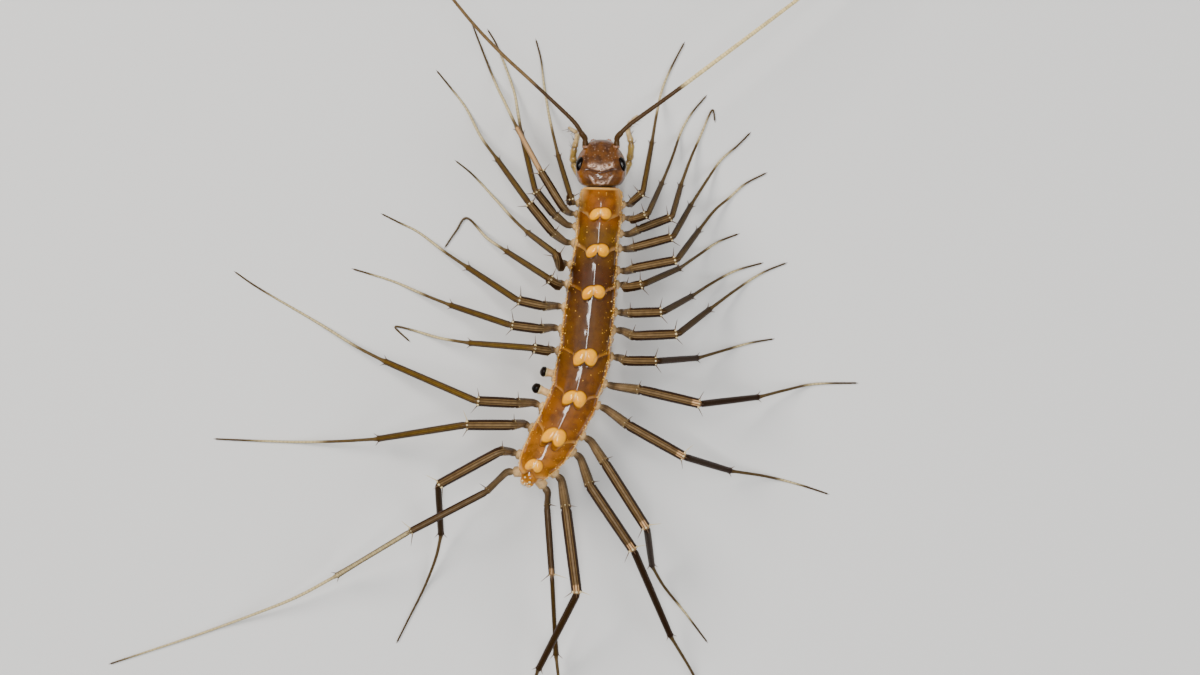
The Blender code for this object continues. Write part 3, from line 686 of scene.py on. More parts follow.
HEAD_BROWN = colour(96, 58, 20)
HEAD_DARK = colour(46, 24, 10)
HEAD_AMBER = colour(128, 76, 18)
HEAD_PALE_AND_GLINT = colour(224, 190, 168)
HEAD_DEEP = colour(46, 18, 6)
EYE_BLACK = colour(6, 5, 4)
EYE_SEAM = colour(22, 14, 8)
LEG_COLOURS = (
    (0.0, colour(206, 160, 106)),
    (0.17, colour(228, 188, 130)),
    (0.22, colour(128, 106, 78)),
    (0.39, colour(112, 92, 64)),
    (0.43, colour(112, 90, 60)),
    (0.59, colour(106, 84, 54)),
    (0.62, colour(102, 79, 32)),
    (0.79, colour(96, 73, 30)),
    (0.81, colour(92, 76, 50)),
    (1.0, colour(80, 66, 46)),
)
LEG_BLACK_BROWN = colour(30, 17, 6)
LEG_LINE = colour(40, 22, 6)
TARSUS_CREAM = colour(204, 186, 140)
JOINT_CREAM_AND_GLINT = colour(190, 148, 104)
SPUR_HORN = colour(92, 66, 40)
SPUR_DARK = colour(40, 26, 14)
BRISTLE_BROWN = colour(56, 40, 24)
FEELER_BROWN = colour(64, 44, 18)
FEELER_OLIVE = colour(112, 88, 56)
FEELER_LIT_CREAM = colour(222, 198, 140)
FEELER_SEAM = colour(58, 40, 22)
PALP_OLIVE = colour(156, 128, 66)
PALP_PALE = colour(190, 162, 112)
PALP_BROWN = colour(92, 66, 34)
CLAW_AMBER = colour(150, 84, 28)
SCAR_BLACK = colour(8, 7, 6)
FLOOR_PALE = colour(206, 205, 203)
ROOM_LIGHT = (0.95, 0.97, 1.0, 1.0)


def add_node(tree, kind, **settings):
    """A new node with these settings."""
    node = tree.nodes.new(kind)
    for name, value in settings.items():
        setattr(node, name, value)
    return node


def feed(tree, target, value):
    """Links a socket into the target, or sets the target to a plain value."""
    if isinstance(value, bpy.types.NodeSocket):
        tree.links.new(value, target)
    else:
        target.default_value = value


def maths(tree, operation, *values):
    node = add_node(tree, "ShaderNodeMath", operation=operation)
    for target, value in zip(node.inputs, values):
        feed(tree, target, value)
    return node.outputs[0]


def span(tree, value, low, high, to_low=0.0, to_high=1.0):
    """A value brought smoothly from one range to another."""
    node = add_node(tree, "ShaderNodeMapRange", interpolation_type="SMOOTHSTEP")
    for target, number in zip(node.inputs, (value, low, high, to_low, to_high)):
        feed(tree, target, number)
    return node.outputs[0]


def mixed(tree, factor, first, second, blend="MIX"):
    node = add_node(tree, "ShaderNodeMix", data_type="RGBA", blend_type=blend)
    feed(tree, node.inputs[0], factor)
    feed(tree, node.inputs[6], first)
    feed(tree, node.inputs[7], second)
    return node.outputs[2]


def ramp(tree, factor, stops):
    """Colours by place along a value."""
    node = add_node(tree, "ShaderNodeValToRGB")
    node.color_ramp.interpolation = "EASE"
    stops = sorted(stops)
    elements = node.color_ramp.elements
    while len(elements) < len(stops):
        elements.new(0.5)
    for element, (place_along, shade) in zip(elements, stops):
        element.position = place_along
        element.color = shade
    feed(tree, node.inputs[0], factor)
    return node.outputs[0]


def attribute(tree, name):
    return add_node(tree, "ShaderNodeAttribute", attribute_name=name).outputs["Fac"]


def tinted(tree, name, base, shade):
    """The base with this shade where the piece has this attribute."""
    return mixed(tree, attribute(tree, name), base, shade)


def pattern(tree):
    """How far round and how far along the piece's own map."""
    source = add_node(tree, "ShaderNodeUVMap", uv_map=PATTERN_MAP)
    parts = add_node(tree, "ShaderNodeSeparateXYZ")
    tree.links.new(source.outputs[0], parts.inputs[0])
    return parts.outputs[0], parts.outputs[1]


def new_group(name, inputs, outputs):
    """A node group with these numbers and colours going in and out."""
    tree = bpy.data.node_groups.new(name, "ShaderNodeTree")
    for label, kind, value in inputs:
        socket = tree.interface.new_socket(label, in_out="INPUT", socket_type=kind)
        socket.default_value = value
    for label, kind in outputs:
        tree.interface.new_socket(label, in_out="OUTPUT", socket_type=kind)
    return tree, tree.nodes.new("NodeGroupInput"), tree.nodes.new("NodeGroupOutput")


FLOAT = "NodeSocketFloat"
COLOUR = "NodeSocketColor"


def sized_place(tree, size):
    """The point on the piece, counted in lengths of this many millimetres."""
    coordinates = add_node(tree, "ShaderNodeTexCoord")
    scaled = add_node(tree, "ShaderNodeVectorMath", operation="SCALE")
    tree.links.new(coordinates.outputs["Object"], scaled.inputs[0])
    feed(tree, scaled.inputs["Scale"], maths(tree, "DIVIDE", 1 / METRES, size))
    return scaled.outputs[0]


def texture(tree, kind, size, detail=None, **settings):
    """A texture on the piece whose features are this many millimetres wide."""
    node = add_node(tree, kind, **settings)
    node.inputs["Scale"].default_value = 1.0
    if detail is not None:
        node.inputs["Detail"].default_value = detail
    tree.links.new(sized_place(tree, size), node.inputs["Vector"])
    return node


def make_cuticle_grain():
    """The fine pits and creases of cuticle, as a height, for bump."""
    tree, into, out = new_group(
        "cuticle_grain",
        [("Pit Size", FLOAT, 0.08), ("Crease Size", FLOAT, 0.4), ("Crease Share", FLOAT, 0.5)],
        [("Height", FLOAT)],
    )
    pits = texture(tree, "ShaderNodeTexVoronoi", into.outputs["Pit Size"], feature="SMOOTH_F1")
    creases = texture(tree, "ShaderNodeTexNoise", into.outputs["Crease Size"], 5.0)
    height = add_node(tree, "ShaderNodeMix", data_type="FLOAT")
    feed(tree, height.inputs[0], into.outputs["Crease Share"])
    feed(tree, height.inputs[2], pits.outputs["Distance"])
    feed(tree, height.inputs[3], creases.outputs["Fac"])
    tree.links.new(height.outputs[0], out.inputs["Height"])
    return tree


def make_mottling():
    """Cloudy darker patches and small dark flecks over a colour."""
    tree, into, out = new_group(
        "mottling",
        [("Colour", COLOUR, (0.5, 0.5, 0.5, 1)), ("Patch Colour", COLOUR, (0.1, 0.1, 0.1, 1)),
         ("Patch Size", FLOAT, 0.8), ("Amount", FLOAT, 0.5)],
        [("Colour", COLOUR)],
    )
    clouds = texture(tree, "ShaderNodeTexNoise", into.outputs["Patch Size"], 6.0)
    clouds.inputs["Roughness"].default_value = 0.62
    mask = span(tree, clouds.outputs["Fac"], 0.38, 0.68)
    strength = maths(tree, "MULTIPLY", mask, into.outputs["Amount"])
    result = mixed(tree, strength, into.outputs["Colour"], into.outputs["Patch Colour"])
    tree.links.new(result, out.inputs["Colour"])
    return tree


def make_pale_grains():
    """Scattered small round grains, as a mask."""
    tree, into, out = new_group(
        "pale_grains",
        [("Spacing", FLOAT, 0.4), ("Grain Share", FLOAT, 0.15), ("How Many", FLOAT, 0.5)],
        [("Mask", FLOAT)],
    )
    cells = texture(tree, "ShaderNodeTexVoronoi", into.outputs["Spacing"])
    spot = maths(tree, "LESS_THAN", cells.outputs["Distance"], into.outputs["Grain Share"])
    pick = add_node(tree, "ShaderNodeSeparateColor")
    tree.links.new(cells.outputs["Color"], pick.inputs[0])
    chosen = maths(tree, "LESS_THAN", pick.outputs[0], into.outputs["How Many"])
    tree.links.new(maths(tree, "MULTIPLY", spot, chosen), out.inputs["Mask"])
    return tree


def make_flank_lines():
    """Dark pigment on a limb's flanks and two thin lines along its top, as a mask."""
    tree, into, out = new_group(
        "flank_lines",
        [("Around", FLOAT, 0.0), ("Flank Start", FLOAT, 0.62), ("Line Share", FLOAT, 0.5)],
        [("Mask", FLOAT)],
    )
    turn = maths(tree, "MULTIPLY", into.outputs["Around"], 2 * math.pi)
    sideways = maths(tree, "ABSOLUTE", maths(tree, "COSINE", turn))
    full = maths(tree, "ADD", into.outputs["Flank Start"], 0.14)
    flank = span(tree, sideways, into.outputs["Flank Start"], full)
    off_line = maths(tree, "ABSOLUTE", maths(tree, "SUBTRACT", sideways, 0.28))
    near_line = span(tree, off_line, 0.03, 0.14, 1.0, 0.0)
    line = maths(tree, "MULTIPLY", near_line, into.outputs["Line Share"])
    tree.links.new(maths(tree, "MAXIMUM", flank, line), out.inputs["Mask"])
    return tree


GROUPS = {}


def placed_group(tree, name, **values):
    """A shared node group in this material, with its own values; returns its first output."""
    makers = {
        "cuticle_grain": make_cuticle_grain, "mottling": make_mottling,
        "pale_grains": make_pale_grains, "flank_lines": make_flank_lines,
    }
    if name not in GROUPS:
        GROUPS[name] = makers[name]()
    node = add_node(tree, "ShaderNodeGroup", node_tree=GROUPS[name])
    for label, value in values.items():
        feed(tree, node.inputs[label.replace("_", " ").title()], value)
    return node.outputs[0]


def new_finish(name, roughness, coat=0.0, coat_roughness=0.08, subsurface=0.0, specular=0.5):
    """A new material, with its nodes and its main shader."""
    material = bpy.data.materials.new(name)
    material.use_nodes = True
    tree = material.node_tree
    shader = tree.nodes["Principled BSDF"]
    shader.inputs["Roughness"].default_value = roughness
    shader.inputs["Coat Weight"].default_value = coat
    shader.inputs["Coat Roughness"].default_value = coat_roughness
    shader.inputs["Subsurface Weight"].default_value = subsurface
    shader.inputs["Subsurface Radius"].default_value = GLOW_SPREAD
    shader.inputs["Subsurface Scale"].default_value = GLOW_DEPTH
    shader.inputs["Specular IOR Level"].default_value = specular
    return material, tree, shader


def mottled(tree, shade, patches, size, amount):
    """A colour with cloudy patches of another colour over it."""
    return placed_group(
        tree, "mottling", colour=shade, patch_colour=patches, patch_size=size, amount=amount,
    )


def cuticle(tree, pit, crease, share):
    """The height of fine cuticle with pits and creases of these sizes."""
    return placed_group(tree, "cuticle_grain", pit_size=pit, crease_size=crease, crease_share=share)


def bumped(tree, shader, height, depth):
    """A height made into bump; depth is in millimetres."""
    bump = add_node(tree, "ShaderNodeBump")
    bump.inputs["Strength"].default_value = 1.0
    bump.inputs["Distance"].default_value = depth * METRES
    feed(tree, bump.inputs["Height"], height)
    tree.links.new(bump.outputs[0], shader.inputs["Normal"])


def shell_finish():
    """Glossy amber and brown back plates with golden rims and orange saddles."""
    material, tree, shader = new_finish("glossy_amber_plate", 0.45, 1.0, 0.07, 0.12, 0.25)
    along_body = attribute(tree, "along_body")
    base = mottled(tree, ramp(tree, along_body, PLATE_COLOURS), PLATE_PATCH, 0.9, 0.55)
    edge_shade = ramp(tree, along_body, RIM_COLOURS)
    base = tinted(tree, "rim", base, edge_shade)
    # The shade mask holds painted shadow at the plates' rear edges and painted shade in their slits,
    # among darker bands
    base = tinted(tree, "shade", base, PLATE_SHADE)
    sparse = placed_group(tree, "pale_grains", spacing=0.34, grain_share=0.16, how_many=0.12)
    fine = placed_group(tree, "pale_grains", spacing=0.17, grain_share=0.26, how_many=0.16)
    fine = maths(tree, "MULTIPLY", fine, attribute(tree, "grainy"))
    grains = maths(tree, "MAXIMUM", sparse, fine)
    base = mixed(tree, maths(tree, "MULTIPLY", grains, 0.7), base, GRAIN_GOLD)
    saddle = mottled(tree, SADDLE_ORANGE, SADDLE_DEEP, 0.5, 0.5)
    base = tinted(tree, "lobe", base, saddle)
    # Cream where the plates carry painted glints, and on the telson valves' pale edges
    base = tinted(tree, "cream", base, GLINT_AND_EDGE_CREAM)
    feed(tree, shader.inputs["Base Color"], base)
    height = maths(tree, "ADD", cuticle(tree, 0.09, 0.35, 0.6), maths(tree, "MULTIPLY", grains, 0.6))
    bumped(tree, shader, height, 0.010)
    return material


def skin_paint(tree):
    """The pale, creased skin of the sides and the belly plates, with painted shade in its creases."""
    base = mottled(tree, SKIN_TAN, SKIN_BROWN, 0.7, 0.6)
    base = tinted(tree, "belly", base, BELLY_CREAM)
    hard = maths(tree, "MULTIPLY", attribute(tree, "side_plate"), 0.7)
    base = mixed(tree, hard, base, SIDE_PLATE_AMBER)
    # Painted shade in the creases
    return tinted(tree, "crease", base, SKIN_BROWN)


def head_paint(tree):
    """Rich red-brown, finely grained, amber at the cheeks and dark along its rims, with painted
    highlights and painted shade in its groove.
    """
    base = mottled(tree, HEAD_BROWN, HEAD_DARK, 0.55, 0.75)
    base = tinted(tree, "amber", base, HEAD_AMBER)
    # Pale flecks on the front are painted glints of its grains
    grains = placed_group(tree, "pale_grains", spacing=0.15, grain_share=0.3, how_many=0.22)
    grains = maths(tree, "MULTIPLY", grains, attribute(tree, "grainy"))
    base = mixed(tree, maths(tree, "MULTIPLY", grains, 0.35), base, HEAD_PALE_AND_GLINT)
    # Painted highlights on the crest, the rear and the antenna sockets, with the pale oblique ridges
    base = tinted(tree, "pale", base, HEAD_PALE_AND_GLINT)
    # Painted shade in the groove, and darker rims and front
    return tinted(tree, "shade", base, HEAD_DEEP)


def eye_paint(tree):
    """Black domes with brown seams between them."""
    return tinted(tree, "facet", EYE_SEAM, EYE_BLACK)


def leg_paint(tree):
    """Cuticle from pale hips to dark shins, lined along its keels, banded on the tarsus, with painted
    glints as pale rings at its joints.
    """
    around, along = pattern(tree)
    base = ramp(tree, maths(tree, "DIVIDE", along, 5.0), LEG_COLOURS)
    base = tinted(tree, "dark", base, LEG_BLACK_BROWN)
    base = mottled(tree, base, LEG_LINE, 0.45, 0.3)
    base = tinted(tree, "pale", base, TARSUS_CREAM)
    lines = placed_group(tree, "flank_lines", around=around, flank_start=0.5, line_share=0.8)
    lined = maths(tree, "MULTIPLY", lines, attribute(tree, "lined"))
    clear = maths(tree, "SUBTRACT", 1.0, lined)
    # Painted glints at the joints, and cream patches and warm shins
    base = mixed(tree, maths(tree, "MULTIPLY", attribute(tree, "joint"), clear), base, JOINT_CREAM_AND_GLINT)
    return mixed(tree, lined, base, LEG_LINE)


def feeler_paint(tree):
    """Ringed antenna: dark at the root, and beyond the row where it pales olive on the left one and
    cream on the right, painted for the light it catches.
    """
    beyond = tinted(tree, "cream", FEELER_OLIVE, FEELER_LIT_CREAM)
    base = tinted(tree, "pale", FEELER_BROWN, beyond)
    base = tinted(tree, "seam", base, FEELER_SEAM)
    return mottled(tree, base, FEELER_SEAM, 0.4, 0.35)


def palp_paint(tree):
    """Translucent olive-yellow palps with brown joints."""
    base = tinted(tree, "pale", PALP_OLIVE, PALP_PALE)
    base = mottled(tree, base, PALP_BROWN, 0.5, 0.6)
    return tinted(tree, "shade", base, PALP_BROWN)


def claw_paint(tree):
    """Glossy amber claws and mandibles with dark ends."""
    base = tinted(tree, "shade", CLAW_AMBER, HEAD_DEEP)
    return mottled(tree, base, HEAD_DEEP, 0.5, 0.4)


def finish(name, look, paint, grain=None, depth=0.0):
    """A material that paint colours. look is what new_finish takes, and grain what cuticle takes.

    paint is a function of the node tree, or what mottled takes.
    """
    material, tree, shader = new_finish(name, *look)
    base = paint(tree) if callable(paint) else mottled(tree, *paint)
    feed(tree, shader.inputs["Base Color"], base)
    if grain:
        bumped(tree, shader, cuticle(tree, *grain), depth)
    return material


# Trunk

def plate_edges(number):
    """The rows between which a plate lies: it starts under the plate in front."""
    front, rear = TERGITE_ENDS[number - 1], TERGITE_ENDS[number]
    return (front - COLLAR_ROWS if number == 1 else front - PLATE_OVERLAP), rear


def plate_shape(number):
    """The point of a plate at u across and v along, and the masks of its finish."""
    front, rear = plate_edges(number)
    last = number == len(TERGITE_ENDS) - 1
    rim_width = RIM_WIDTHS[number - 1]
    half_length, half_wide = LOBE_HALF_LENGTHS[number - 1], LOBE_HALF_WIDTHS[number - 1]
    offset, beyond = LOBE_OFFSETS[number - 1], LOBE_BEYONDS[number - 1]
    shift = LOBE_SHIFTS[number - 1]

    def spot(u, v):
        """How far across as a share of the half width, in pixels, and the row."""
        side = 2 * u - 1
        side = math.copysign(1 - (1 - abs(side)) ** 1.15, side)
        _, half_width = smooth_values(SPINE_LINE, front + (rear - front) * v)
        across = side * half_width
        bulge = 2.6 * hump(abs(across - shift) - offset - 1.5, 4.5) * (0.3 if last else 1)
        notch = NOTCH_ROWS * hump(across - shift, 5.5 if last else 1.7)
        corner = REAR_CORNER * ease(0.35, 1.0, abs(side)) * (0.4 if last else 1)
        corner += TAB_DEPTHS[number - 1] * ease(offset + 3.4, offset + 8.6, abs(across - shift))
        level = LOBE_LEVEL * (across - shift) * (1 - ease(9.0, 14.0, abs(across - shift)))
        row = front + (rear - front) * v + v ** 2 * (bulge - notch - corner - level)
        return side, across, row

    def lobe_share(u, v):
        """1 in the middle of a saddle lobe and 0 on its edge."""
        _, across, row = spot(u, v)
        to_side = (math.hypot(across - shift, LOBE_BRIDGE) - offset) / half_wide
        to_row = (rear + beyond - row - LOBE_LEVEL * (across - shift)) / half_length - 1
        to_side += LOBE_LEAN * to_row
        return 1 - to_side * to_side - to_row * to_row

    def shape(u, v):
        side, _, row = spot(u, v)
        at, _, to_right, half_width, _ = spine_at(row)
        swell = 0.94 + 0.06 * math.sin(math.pi * min(1.0, 0.15 + v * 0.9))
        if number == 1:
            swell += 0.05 * (1 - ease(0.1, 0.6, v)) - 0.09 * hump(v, 0.05)
        angle = math.asin(max(-1.0, min(1.0, side)))
        crown = MARGIN_HEIGHT + (BACK_HEIGHT - MARGIN_HEIGHT) * min(1.0, half_width / BROAD_HALF_WIDTH)
        rise = 0.12 * v - 0.24 * (1 - v) ** 5 if number == 1 else 0.2 * v - 0.34 * (1 - v) ** 2.5
        height = MARGIN_HEIGHT + (crown - MARGIN_HEIGHT + rise) * math.cos(angle) ** 0.85
        height += 0.1 * v * (1 - math.cos(angle))
        edge = (1 - abs(side)) * half_width
        height += 0.05 * hump(edge - 0.09, 0.07) - 0.04 * hump(edge - 0.22, 0.07)
        to_rear = 1 - 0.95 * ease(0.86, 1.0, v)
        height += SADDLE_HEIGHT * ease(-0.2, 1.0, lobe_share(u, v)) * to_rear
        height -= REAR_CURL * ease(0.91, 1.0, v) * (0.5 + 0.5 * math.cos(angle))
        point = at + to_right * side * half_width * swell
        height += 0.008 * wave(Vector((point.x, point.y, number)), 0.5)
        return Vector((point.x, point.y, height))

    def rim(u, v):
        side, across, row = spot(u, v)
        _, half_width = smooth_values(SPINE_LINE, row)
        edge = (1 - abs(side)) * half_width
        ragged = edge + 0.9 * wave(Vector((row, across, number)), 5.0)
        faded = 2.0 if number == 1 else 1.4
        margin = 1 - ease(rim_width * 0.3, rim_width * faded, ragged)
        to_rear = (1 - v) * (rear - front) + 0.8 * wave(Vector((across, row, number)), 4.0)
        behind = (1 - ease(1.5, 7.0, to_rear)) * ease(0.25, 0.6, abs(side))
        before = 1 - ease(1.2, 3.0, v * (rear - front)) if number == 1 else 0.0
        margin *= 0.7 if number == 1 else 1.0
        return max(margin, 0.6 * behind, before)

    def shade(u, v):
        # Painted shadow along each plate's rear edge and painted shade in the slit between the lobes,
        # with a darker ring round the lobes and a darker middle band
        side, across, row = spot(u, v)
        beside = 1 - ease(0.0, 0.5, abs(lobe_share(u, v) + 0.12)) if v < 0.999 else 0
        slit = hump(across - shift, 0.9) * ease(rear - 6, rear - 3, row)
        rear_line = ease(0.985, 1.0, v)
        middle = MIDDLE_SHADES[number - 1] * hump(across, 8.0) * (1 - 0.5 * ease(0.0, 0.2, side))
        around_lobes = 0.3 * beside * (lobe_share(u, v) < 0)
        return min(1.0, max(around_lobes, 0.75 * slit, rear_line, middle))

    def cream(u, v):
        """Painted highlights: the pale seam between the lobes, where the streak along the back glints,
        and glinting streaks near the margin's edge.
        """
        side, across, row = spot(u, v)
        seam = hump(across - shift, 0.75) * ease(0.1, 0.6, lobe_share(u, v))
        edge = (1 - abs(side)) * smooth_values(SPINE_LINE, row)[1]
        streak = hump(edge - 0.5, 0.6) * ease(-0.1, 0.5, wave(Vector((row, 9 * side, number)), 6.0))
        return max(0.65 * seam, 0.5 * streak)

    values = {
        "along_body": lambda u, v: (spot(u, v)[2] - BODY_ROWS[0]) / (BODY_ROWS[1] - BODY_ROWS[0]),
        "cream": cream,
        "rim": rim,
        "shade": shade,
        "lobe": lambda u, v: ease(-0.12, 0.36, lobe_share(u, v)),
        "grainy": lambda u, v: ease(0.3, 0.8, abs(2 * u - 1)),
    }
    return shape, values


def build_plate(number):
    """A back plate with its beads, bristles and hairs; plate 1 is behind the head."""
    shape, values = plate_shape(number)
    front, rear = plate_edges(number)
    _, half_width = smooth_values(SPINE_LINE, (front + rear) / 2)
    sheet = bent_grid(
        round(2 * half_width / PLATE_CELL), round((rear - front) / PLATE_CELL), shape, values,
        closed=False,
    )
    stances = []
    for side in (-1, 1):
        for i in range(PLATE_BRISTLES):
            v = (i + draw.random()) / PLATE_BRISTLES
            root = shape(0.5 + side * (0.5 - 0.006), v)
            _, to_tail, to_right, _, _ = spine_at(front + (rear - front) * v)
            lie = to_right * side + to_tail * draw.uniform(0.3, 1.2) + UP * draw.uniform(-0.2, 0.5)
            stances.append(stance(root, lie, draw.uniform(0.08, 0.2), PLATE_BRISTLE_RADIUS))
    for _ in range(PLATE_HAIRS):
        u, v = draw.uniform(0.04, 0.96), draw.uniform(0.08, 0.97)
        _, to_tail, to_right, _, _ = spine_at(front + (rear - front) * v)
        lie = to_tail + UP * draw.uniform(0.3, 0.9) + to_right * draw.uniform(-0.4, 0.4)
        stances.append(stance(shape(u, v), lie, draw.uniform(0.05, 0.1), HAIR_RADIUS))
    layers = [
        (shell(sheet, PLATE_THICKNESS), FINISH["plate"]),
        (planted(bead(), rim_beads(shape, rear - front)), FINISH["bead"]),
        (planted(spike(), stances), FINISH["bristle"]),
    ]
    shown(f"back_plate_{number}", layers, [f"trunk_{number}"])


def rim_beads(shape, rows):
    """Where the small glassy beads sit along both side margins of a plate."""
    stances = []
    for side in (-1, 1):
        for _ in range(round(rows * BEADS_PER_ROW)):
            v = draw.uniform(0.12, 0.985)
            inward = abs(draw.gauss(0.0, 0.035))
            root = shape(0.5 + side * (0.5 - 0.004 - inward), v)
            size = draw.uniform(*BEAD_SIZES)
            stances.append(stance(root, UP + Vector((draw.uniform(-0.3, 0.3), 0, 0)), size, size))
    return stances


def build_side_skin():
    """One skin for the sides and belly, from the neck to the telson, with small plates in it."""
    stations = sorted(leg.station for leg in [*LEFT_LEGS.values(), *SHED_LEGS.values()])
    first, final = SKIN_ROWS

    def segment_part(row):
        """-1 to 1 from the furrow in front of a pair of hips to the one behind; 0 at the hips."""
        index = min(range(len(stations)), key=lambda i: abs(row - stations[i]))
        neighbour = min(len(stations) - 1, max(0, index + (1 if row > stations[index] else -1)))
        half = max(5.0, abs(stations[neighbour] - stations[index]) / 2)
        return max(-1.0, min(1.0, (row - stations[index]) / half))

    def spot(u, v):
        row = first + (final - first) * v
        angle = 2 * math.pi * u
        return row, segment_part(row), math.cos(angle), math.sin(angle)

    def shape(u, v):
        row, part, side, lift = spot(u, v)
        at, _, to_right, half_width, _ = spine_at(row)
        close = math.sqrt(max(0.0, 1 - (2 * v - 1) ** 24))
        furrow = hump(1 - abs(part), 0.16)
        swell = 0.06 * hump(part, 0.5) * hump(lift + 0.1, 0.5)
        swell += 0.035 * side_plate(part, lift) - 0.03 * furrow
        width = half_width * (SKIN_SHARE + swell) * math.copysign(abs(side) ** 0.72, side)
        if lift > 0:
            height = SKIN_MIDDLE + 1.25 * lift * min(1.0, half_width / BROAD_HALF_WIDTH)
        else:
            height = SKIN_MIDDLE - (SKIN_MIDDLE - BELLY_HEIGHT) * abs(lift) ** 0.62
            plate = belly_plate(part, side, lift)
            height += 0.07 * (1 - plate) * abs(lift) + 0.03 * hump(side, 0.07) * plate
        point = at + to_right * width * close
        point.z = SKIN_MIDDLE + (height - SKIN_MIDDLE) * close
        fold = wave(Vector((point.x * 0.6, row * MM_PER_PIXEL * 2.4, point.z * 1.3)), 0.5)
        fine = wave(Vector((point.x * 1.5, row * MM_PER_PIXEL * 3, point.z * 2)), 0.22)
        point += to_right * math.copysign(1.0, side) * (0.045 * fold + 0.015 * fine)
        return point

    def crease(u, v):
        # Painted shade in the furrows between segments and round the belly plates
        _, part, side, lift = spot(u, v)
        plate = belly_plate(part, side, lift)
        rim = hump(plate - 0.5, 0.28) * (lift < -0.1)
        return min(1.0, 0.55 * hump(1 - abs(part), 0.22) + 0.35 * rim)

    values = {
        "belly": lambda u, v: belly_plate(*spot(u, v)[1:]),
        "side_plate": lambda u, v: side_plate(*spot(u, v)[1::2]),
        "crease": crease,
    }
    mesh = bent_grid(*SKIN_GRID, shape, values)
    nodes = [f"trunk_{number}" for number in range(1, len(TERGITE_ENDS))]
    layers = [(mesh, FINISH["flesh"])]
    stances = []
    for _ in range(SKIN_HAIRS):
        u, v = draw.uniform(0.5, 1.0), draw.uniform(0.03, 0.97)
        root = shape(u, v)
        out = root - shape(u, v).lerp(spine_at(first + (final - first) * v)[0] - UP * 0.5, 0.5)
        way = out.normalized() + Vector((draw.uniform(-0.5, 0.5), draw.uniform(-0.9, 0.2), 0))
        stances.append(stance(root, way, draw.uniform(0.06, 0.15), HAIR_RADIUS))
    layers.append((planted(spike(), stances), FINISH["bristle"]))
    shown("side_skin", layers, nodes)


def belly_plate(part, side, lift):
    """1 on a pair of legs' belly plate and 0 off it."""
    inside = (1 - ease(0.72, 0.86, abs(part))) * (1 - ease(0.62, 0.74, abs(side)))
    return inside * ease(0.3, 0.5, -lift)


def side_plate(part, lift):
    """1 on the small hard plates above a hip and 0 off them."""
    upper = 1 - ease(0.5, 0.8, math.hypot((part + 0.15) / 0.62, (lift - 0.42) / 0.20))
    lower = 1 - ease(0.5, 0.8, math.hypot((part - 0.5) / 0.32, (lift - 0.02) / 0.16))
    return max(upper, lower)


def build_telson():
    """The last small plate with the two valves of the telson behind it."""
    at, to_tail, to_right, _, _ = spine_at(TELSON_ROW)

    def dome(middle, half_width, length, rise, valve):
        def shape(u, v):
            angle = math.pi * (u - 0.5)
            narrow = math.sqrt(max(0.0, 1 - v ** 3 * 0.98)) * (0.9 + 0.1 * math.sin(math.pi * v))
            side = math.sin(angle)
            point = middle + to_right * side * half_width * narrow + to_tail * length * v
            point.z = middle.z + rise * math.cos(angle) * narrow - 0.25 * v
            point.z += 0.03 * wave(point, 0.16) + 0.05 * wave(point, 0.42)
            return point
        values = {
            "along_body": lambda u, v: 1.0,
            "rim": lambda u, v: max(ease(0.75, 1.0, v), ease(0.7, 0.95, abs(2 * u - 1))),
            "shade": lambda u, v: 0.3 * ease(0.0, 0.2, 0.2 - v),
            "lobe": lambda u, v: 0.45 * valve,
            "grainy": lambda u, v: 0.0,
            "cream": lambda u, v: 0.6 * valve * max(ease(0.6, 1.0, v), ease(0.8, 1.0, abs(2 * u - 1))),
        }
        # Pale beads on the valves stand in for glints, a painted highlight
        for u, v in TELSON_GLINT_BEADS:
            size = draw.uniform(0.08, 0.13)
            glint_beads.append(stance(shape(u, v), UP, size, size))
        return shell(bent_grid(*TELSON_GRID, shape, values, closed=False), PLATE_THICKNESS)

    glint_beads = []
    base = Vector((at.x, at.y, 5.1)) - to_tail * 0.85 - to_right * 0.05
    layers = [(dome(base, 0.82, 1.3, 0.52, 0.0), FINISH["plate"])]
    for side in (-1, 1):
        valve = base + to_tail * 0.62 + to_right * 0.24 * side + UP * -0.22
        layers.append((dome(valve, 0.42, 0.86, 0.48, 0.8), FINISH["plate"]))
    layers.append((planted(bead(), glint_beads), FINISH["painted_glint_white"]))
    body = ellipsoid(
        base + to_tail * 0.6 - UP * 0.55, (0.60, 0.85, 0.55),
        to_tail.to_track_quat("Y", "Z").to_matrix(), 4, lambda way: 0.06 * wave(way, 0.4),
    )
    layers.append((body, FINISH["flesh"]))
    stances = []
    for _ in range(TELSON_HAIRS):
        angle = draw.uniform(-1.3, 1.3)
        way = to_tail * math.cos(angle) + to_right * math.sin(angle)
        root = base + to_tail * 0.95 + way * 0.5 + UP * draw.uniform(-0.4, 0.0)
        way += UP * draw.uniform(-0.2, 0.5)
        stances.append(stance(root, way, draw.uniform(0.12, 0.24), STOUT_HAIR_RADIUS))
    layers.append((planted(spike(), stances), FINISH["bristle"]))
    shown("telson_plates", layers, ["telson"])


# Head

def groove_at(reach):
    """The row of the groove across the crown, this far from the middle."""
    return 169.0 + 4.0 * max(0.0, 1 - reach / 14.0)


def shield_reach(row):
    """How far from the middle the oblique ridges behind the groove stand at this row."""
    return 12.0 - (row - 175.0) * 0.62


